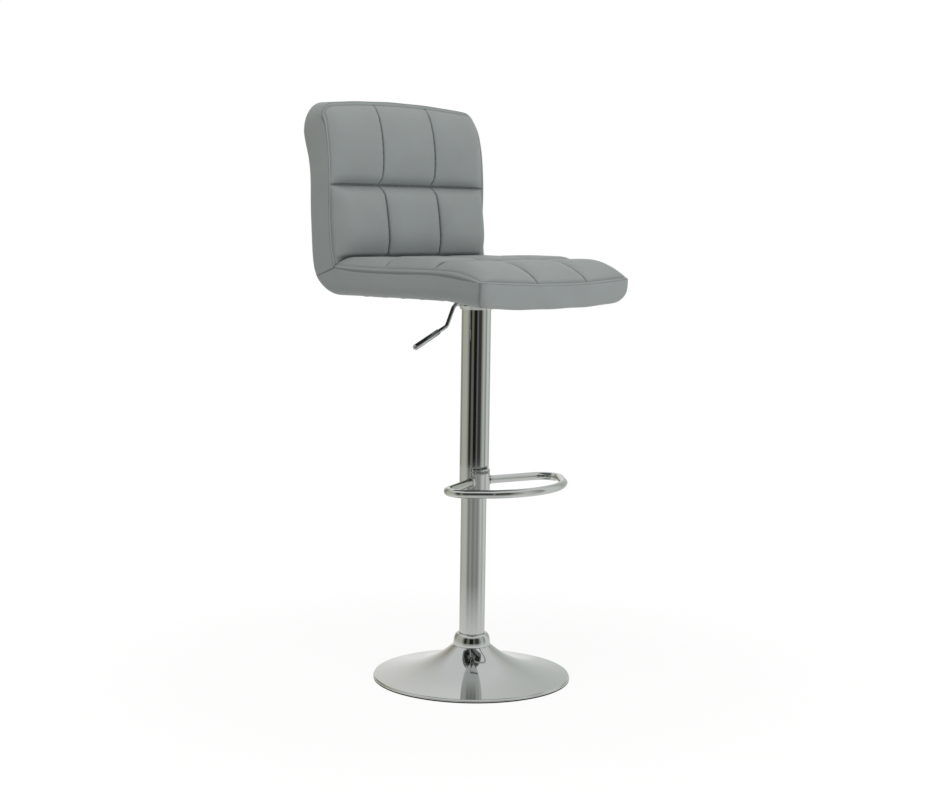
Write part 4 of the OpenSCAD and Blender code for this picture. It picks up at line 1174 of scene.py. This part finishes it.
def distance_share(tree, near, far):
    """0 near the column and 1 far from it."""
    length = add_node(tree, "ShaderNodeVectorMath", operation="LENGTH")
    tree.links.new(place_node(tree), length.inputs[0])
    node = add_node(tree, "ShaderNodeMapRange", From_Min=near, From_Max=far)
    tree.links.new(length.outputs["Value"], node.inputs["Value"])
    return node.outputs["Result"]


def blend(tree, factor, first, second):
    node = add_node(tree, "ShaderNodeMixShader")
    for value, socket in zip((factor, first, second), node.inputs):
        tree.links.new(value, socket)
    return node.outputs["Shader"]


def floor():
    """Pale floor: white to the camera apart from the shadow, and to metal partly see-through further away."""
    material, tree, shader = nodes_of("pale_floor", Base_Color=(0.86, 0.86, 0.86, 1), Roughness=0.9,
                                      Specular_IOR_Level=0.1)
    glow = add_node(tree, "ShaderNodeEmission", Color=(1, 1, 1, 1), Strength=FLOOR_GLOW)
    clear = add_node(tree, "ShaderNodeBsdfTransparent")
    path = add_node(tree, "ShaderNodeLightPath")
    white_share = spread(tree, distance_share(tree, *SHADOW_FADE), 1 - SHADOW_SHARE, 1)
    white = maths(tree, "MULTIPLY", path.outputs["Is Camera Ray"], white_share)
    seen = blend(tree, white, shader.outputs["BSDF"], glow.outputs["Emission"])
    share = maths(tree, "MULTIPLY", path.outputs["Is Glossy Ray"], MIRROR_GLOW)
    mirrored = blend(tree, share, seen, glow.outputs["Emission"])
    past = spread(tree, distance_share(tree, *MIRROR_FADE), 0, MIRROR_GAP)
    past_share = maths(tree, "MULTIPLY", path.outputs["Is Glossy Ray"], past)
    whole = blend(tree, past_share, mirrored, clear.outputs["BSDF"])
    tree.links.new(whole, tree.nodes["Material Output"].inputs["Surface"])
    angles = [2 * math.pi * k / FLOOR_SIDES for k in range(FLOOR_SIDES)]
    rim = [(FLOOR_R * math.cos(a), FLOOR_R * math.sin(a), 0) for a in angles]
    slices = [[0, k + 1, (k + 1) % FLOOR_SIDES + 1] for k in range(FLOOR_SIDES)]
    new_piece("floor", [(0, 0, 0)] + rim, slices, material)


WORLD_GREY = (0.62, 0.615, 0.59)
OVERHEAD_GREY = (0.85, 0.86, 0.86)
# Heights of the view direction over which the room gives way to the ceiling
OVERHEAD_STOPS = [(0.45, 0), (0.75, 1)]
# Turns around the stool that the metal reflects, with 0.5 at the photographer
ROOM_STOPS = [
    (0.0, (1.0, 1.0, 0.99)), (0.1, (0.42, 0.38, 0.32)), (0.15, (0.36, 0.34, 0.27)),
    (0.175, (0.6, 0.6, 0.5)), (0.3, (0.62, 0.62, 0.56)), (0.335, (0.4, 0.41, 0.37)),
    (0.358, (0.16, 0.17, 0.15)), (0.367, (0.03, 0.03, 0.03)), (0.405, (0.03, 0.03, 0.03)),
    (0.415, (0.2, 0.19, 0.14)), (0.455, (0.2, 0.19, 0.14)), (0.465, (0.012, 0.014, 0.014)),
    (0.522, (0.012, 0.014, 0.014)), (0.53, (0.17, 0.17, 0.18)), (0.555, (0.17, 0.17, 0.18)),
    (0.565, (0.05, 0.05, 0.04)), (0.62, (0.06, 0.06, 0.05)), (0.64, (0.3, 0.31, 0.29)),
    (0.69, (0.72, 0.74, 0.72)), (0.755, (0.35, 0.36, 0.34)), (0.775, (0.85, 0.87, 0.85)),
    (0.84, (0.85, 0.87, 0.85)), (0.88, (0.55, 0.57, 0.53)), (0.94, (0.6, 0.62, 0.59)),
    (1.0, (0.75, 0.77, 0.75)),
]


def world():
    """White to the camera, a pale room with dark stretches to metal, and a plain grey to the rest."""
    scene_world = bpy.data.worlds.new("studio")
    bpy.context.scene.world = scene_world
    scene_world.use_nodes = True
    tree = scene_world.node_tree
    background = tree.nodes["Background"]
    direction = add_node(tree, "ShaderNodeTexCoord")
    split = add_node(tree, "ShaderNodeSeparateXYZ")
    tree.links.new(direction.outputs["Generated"], split.inputs["Vector"])
    azimuth = maths(tree, "ARCTAN2", split.outputs["Y"], split.outputs["X"])
    photographer = math.atan2(-math.cos(CAMERA_TURN), math.sin(CAMERA_TURN))
    whole_turn = 2 * math.pi
    turned = maths(tree, "MULTIPLY_ADD", azimuth, 1 / whole_turn, 0.5 - photographer / whole_turn)
    room = ramp(tree, maths(tree, "WRAP", turned, 0, 1), ROOM_STOPS)
    above = ramp(tree, split.outputs["Z"], OVERHEAD_STOPS)
    overhead = mix_colours(tree, above, room, (*OVERHEAD_GREY, 1))
    path = add_node(tree, "ShaderNodeLightPath")
    unseen = mix_colours(tree, path.outputs["Is Glossy Ray"], (*WORLD_GREY, 1), overhead)
    colour = mix_colours(tree, path.outputs["Is Camera Ray"], unseen, (1, 1, 1, 1))
    tree.links.new(colour, background.inputs["Color"])


def lamp(name, place, target, size, power, colour):
    """A rectangular area lamp that metal doesn't mirror."""
    data = bpy.data.lights.new(name, "AREA")
    data.shape = "RECTANGLE"
    data.size, data.size_y = size
    data.energy = power
    data.color = colour
    made = add_object(name, data)
    made.location = place
    made.rotation_euler = (Vector(target) - Vector(place)).to_track_quat("-Z", "Y").to_euler()
    made.visible_glossy = False


def camera():
    """The photographer's camera, turned around the column, pitched down and rolled."""
    right = Vector((math.cos(CAMERA_TURN), math.sin(CAMERA_TURN), 0))
    level = Vector((-math.sin(CAMERA_TURN), math.cos(CAMERA_TURN), 0))
    up = Vector((0, 0, 1))
    place = -level * CAMERA_DISTANCE + up * CAMERA_HEIGHT + right * CAMERA_SIDE
    forward = level * math.cos(CAMERA_PITCH) - up * math.sin(CAMERA_PITCH)
    top = level * math.sin(CAMERA_PITCH) + up * math.cos(CAMERA_PITCH)
    x_axis = right * math.cos(CAMERA_ROLL) + top * math.sin(CAMERA_ROLL)
    y_axis = -right * math.sin(CAMERA_ROLL) + top * math.cos(CAMERA_ROLL)
    data = bpy.data.cameras.new("photo_camera")
    data.sensor_width = SENSOR_WIDTH
    data.lens = FOCAL_PIXELS / PHOTO_WIDTH * SENSOR_WIDTH
    made = add_object("photo_camera", data)
    made.matrix_world = Matrix.Translation(place) @ Matrix((x_axis, y_axis, -forward)).transposed().to_4x4()
    bpy.context.scene.camera = made


floor()
world()
lamp("key_lamp", (0.1, -3.3, 0.92), LAMP_AIM, size=(1.8, 1.6), power=35, colour=(0.98, 1.0, 1.0))
lamp("top_lamp", (-0.8, -0.1, 3.0), LAMP_AIM, size=(1.6, 1.6), power=17, colour=(1.0, 1.0, 0.96))
camera()
bpy.context.scene.view_settings.view_transform = "Standard"
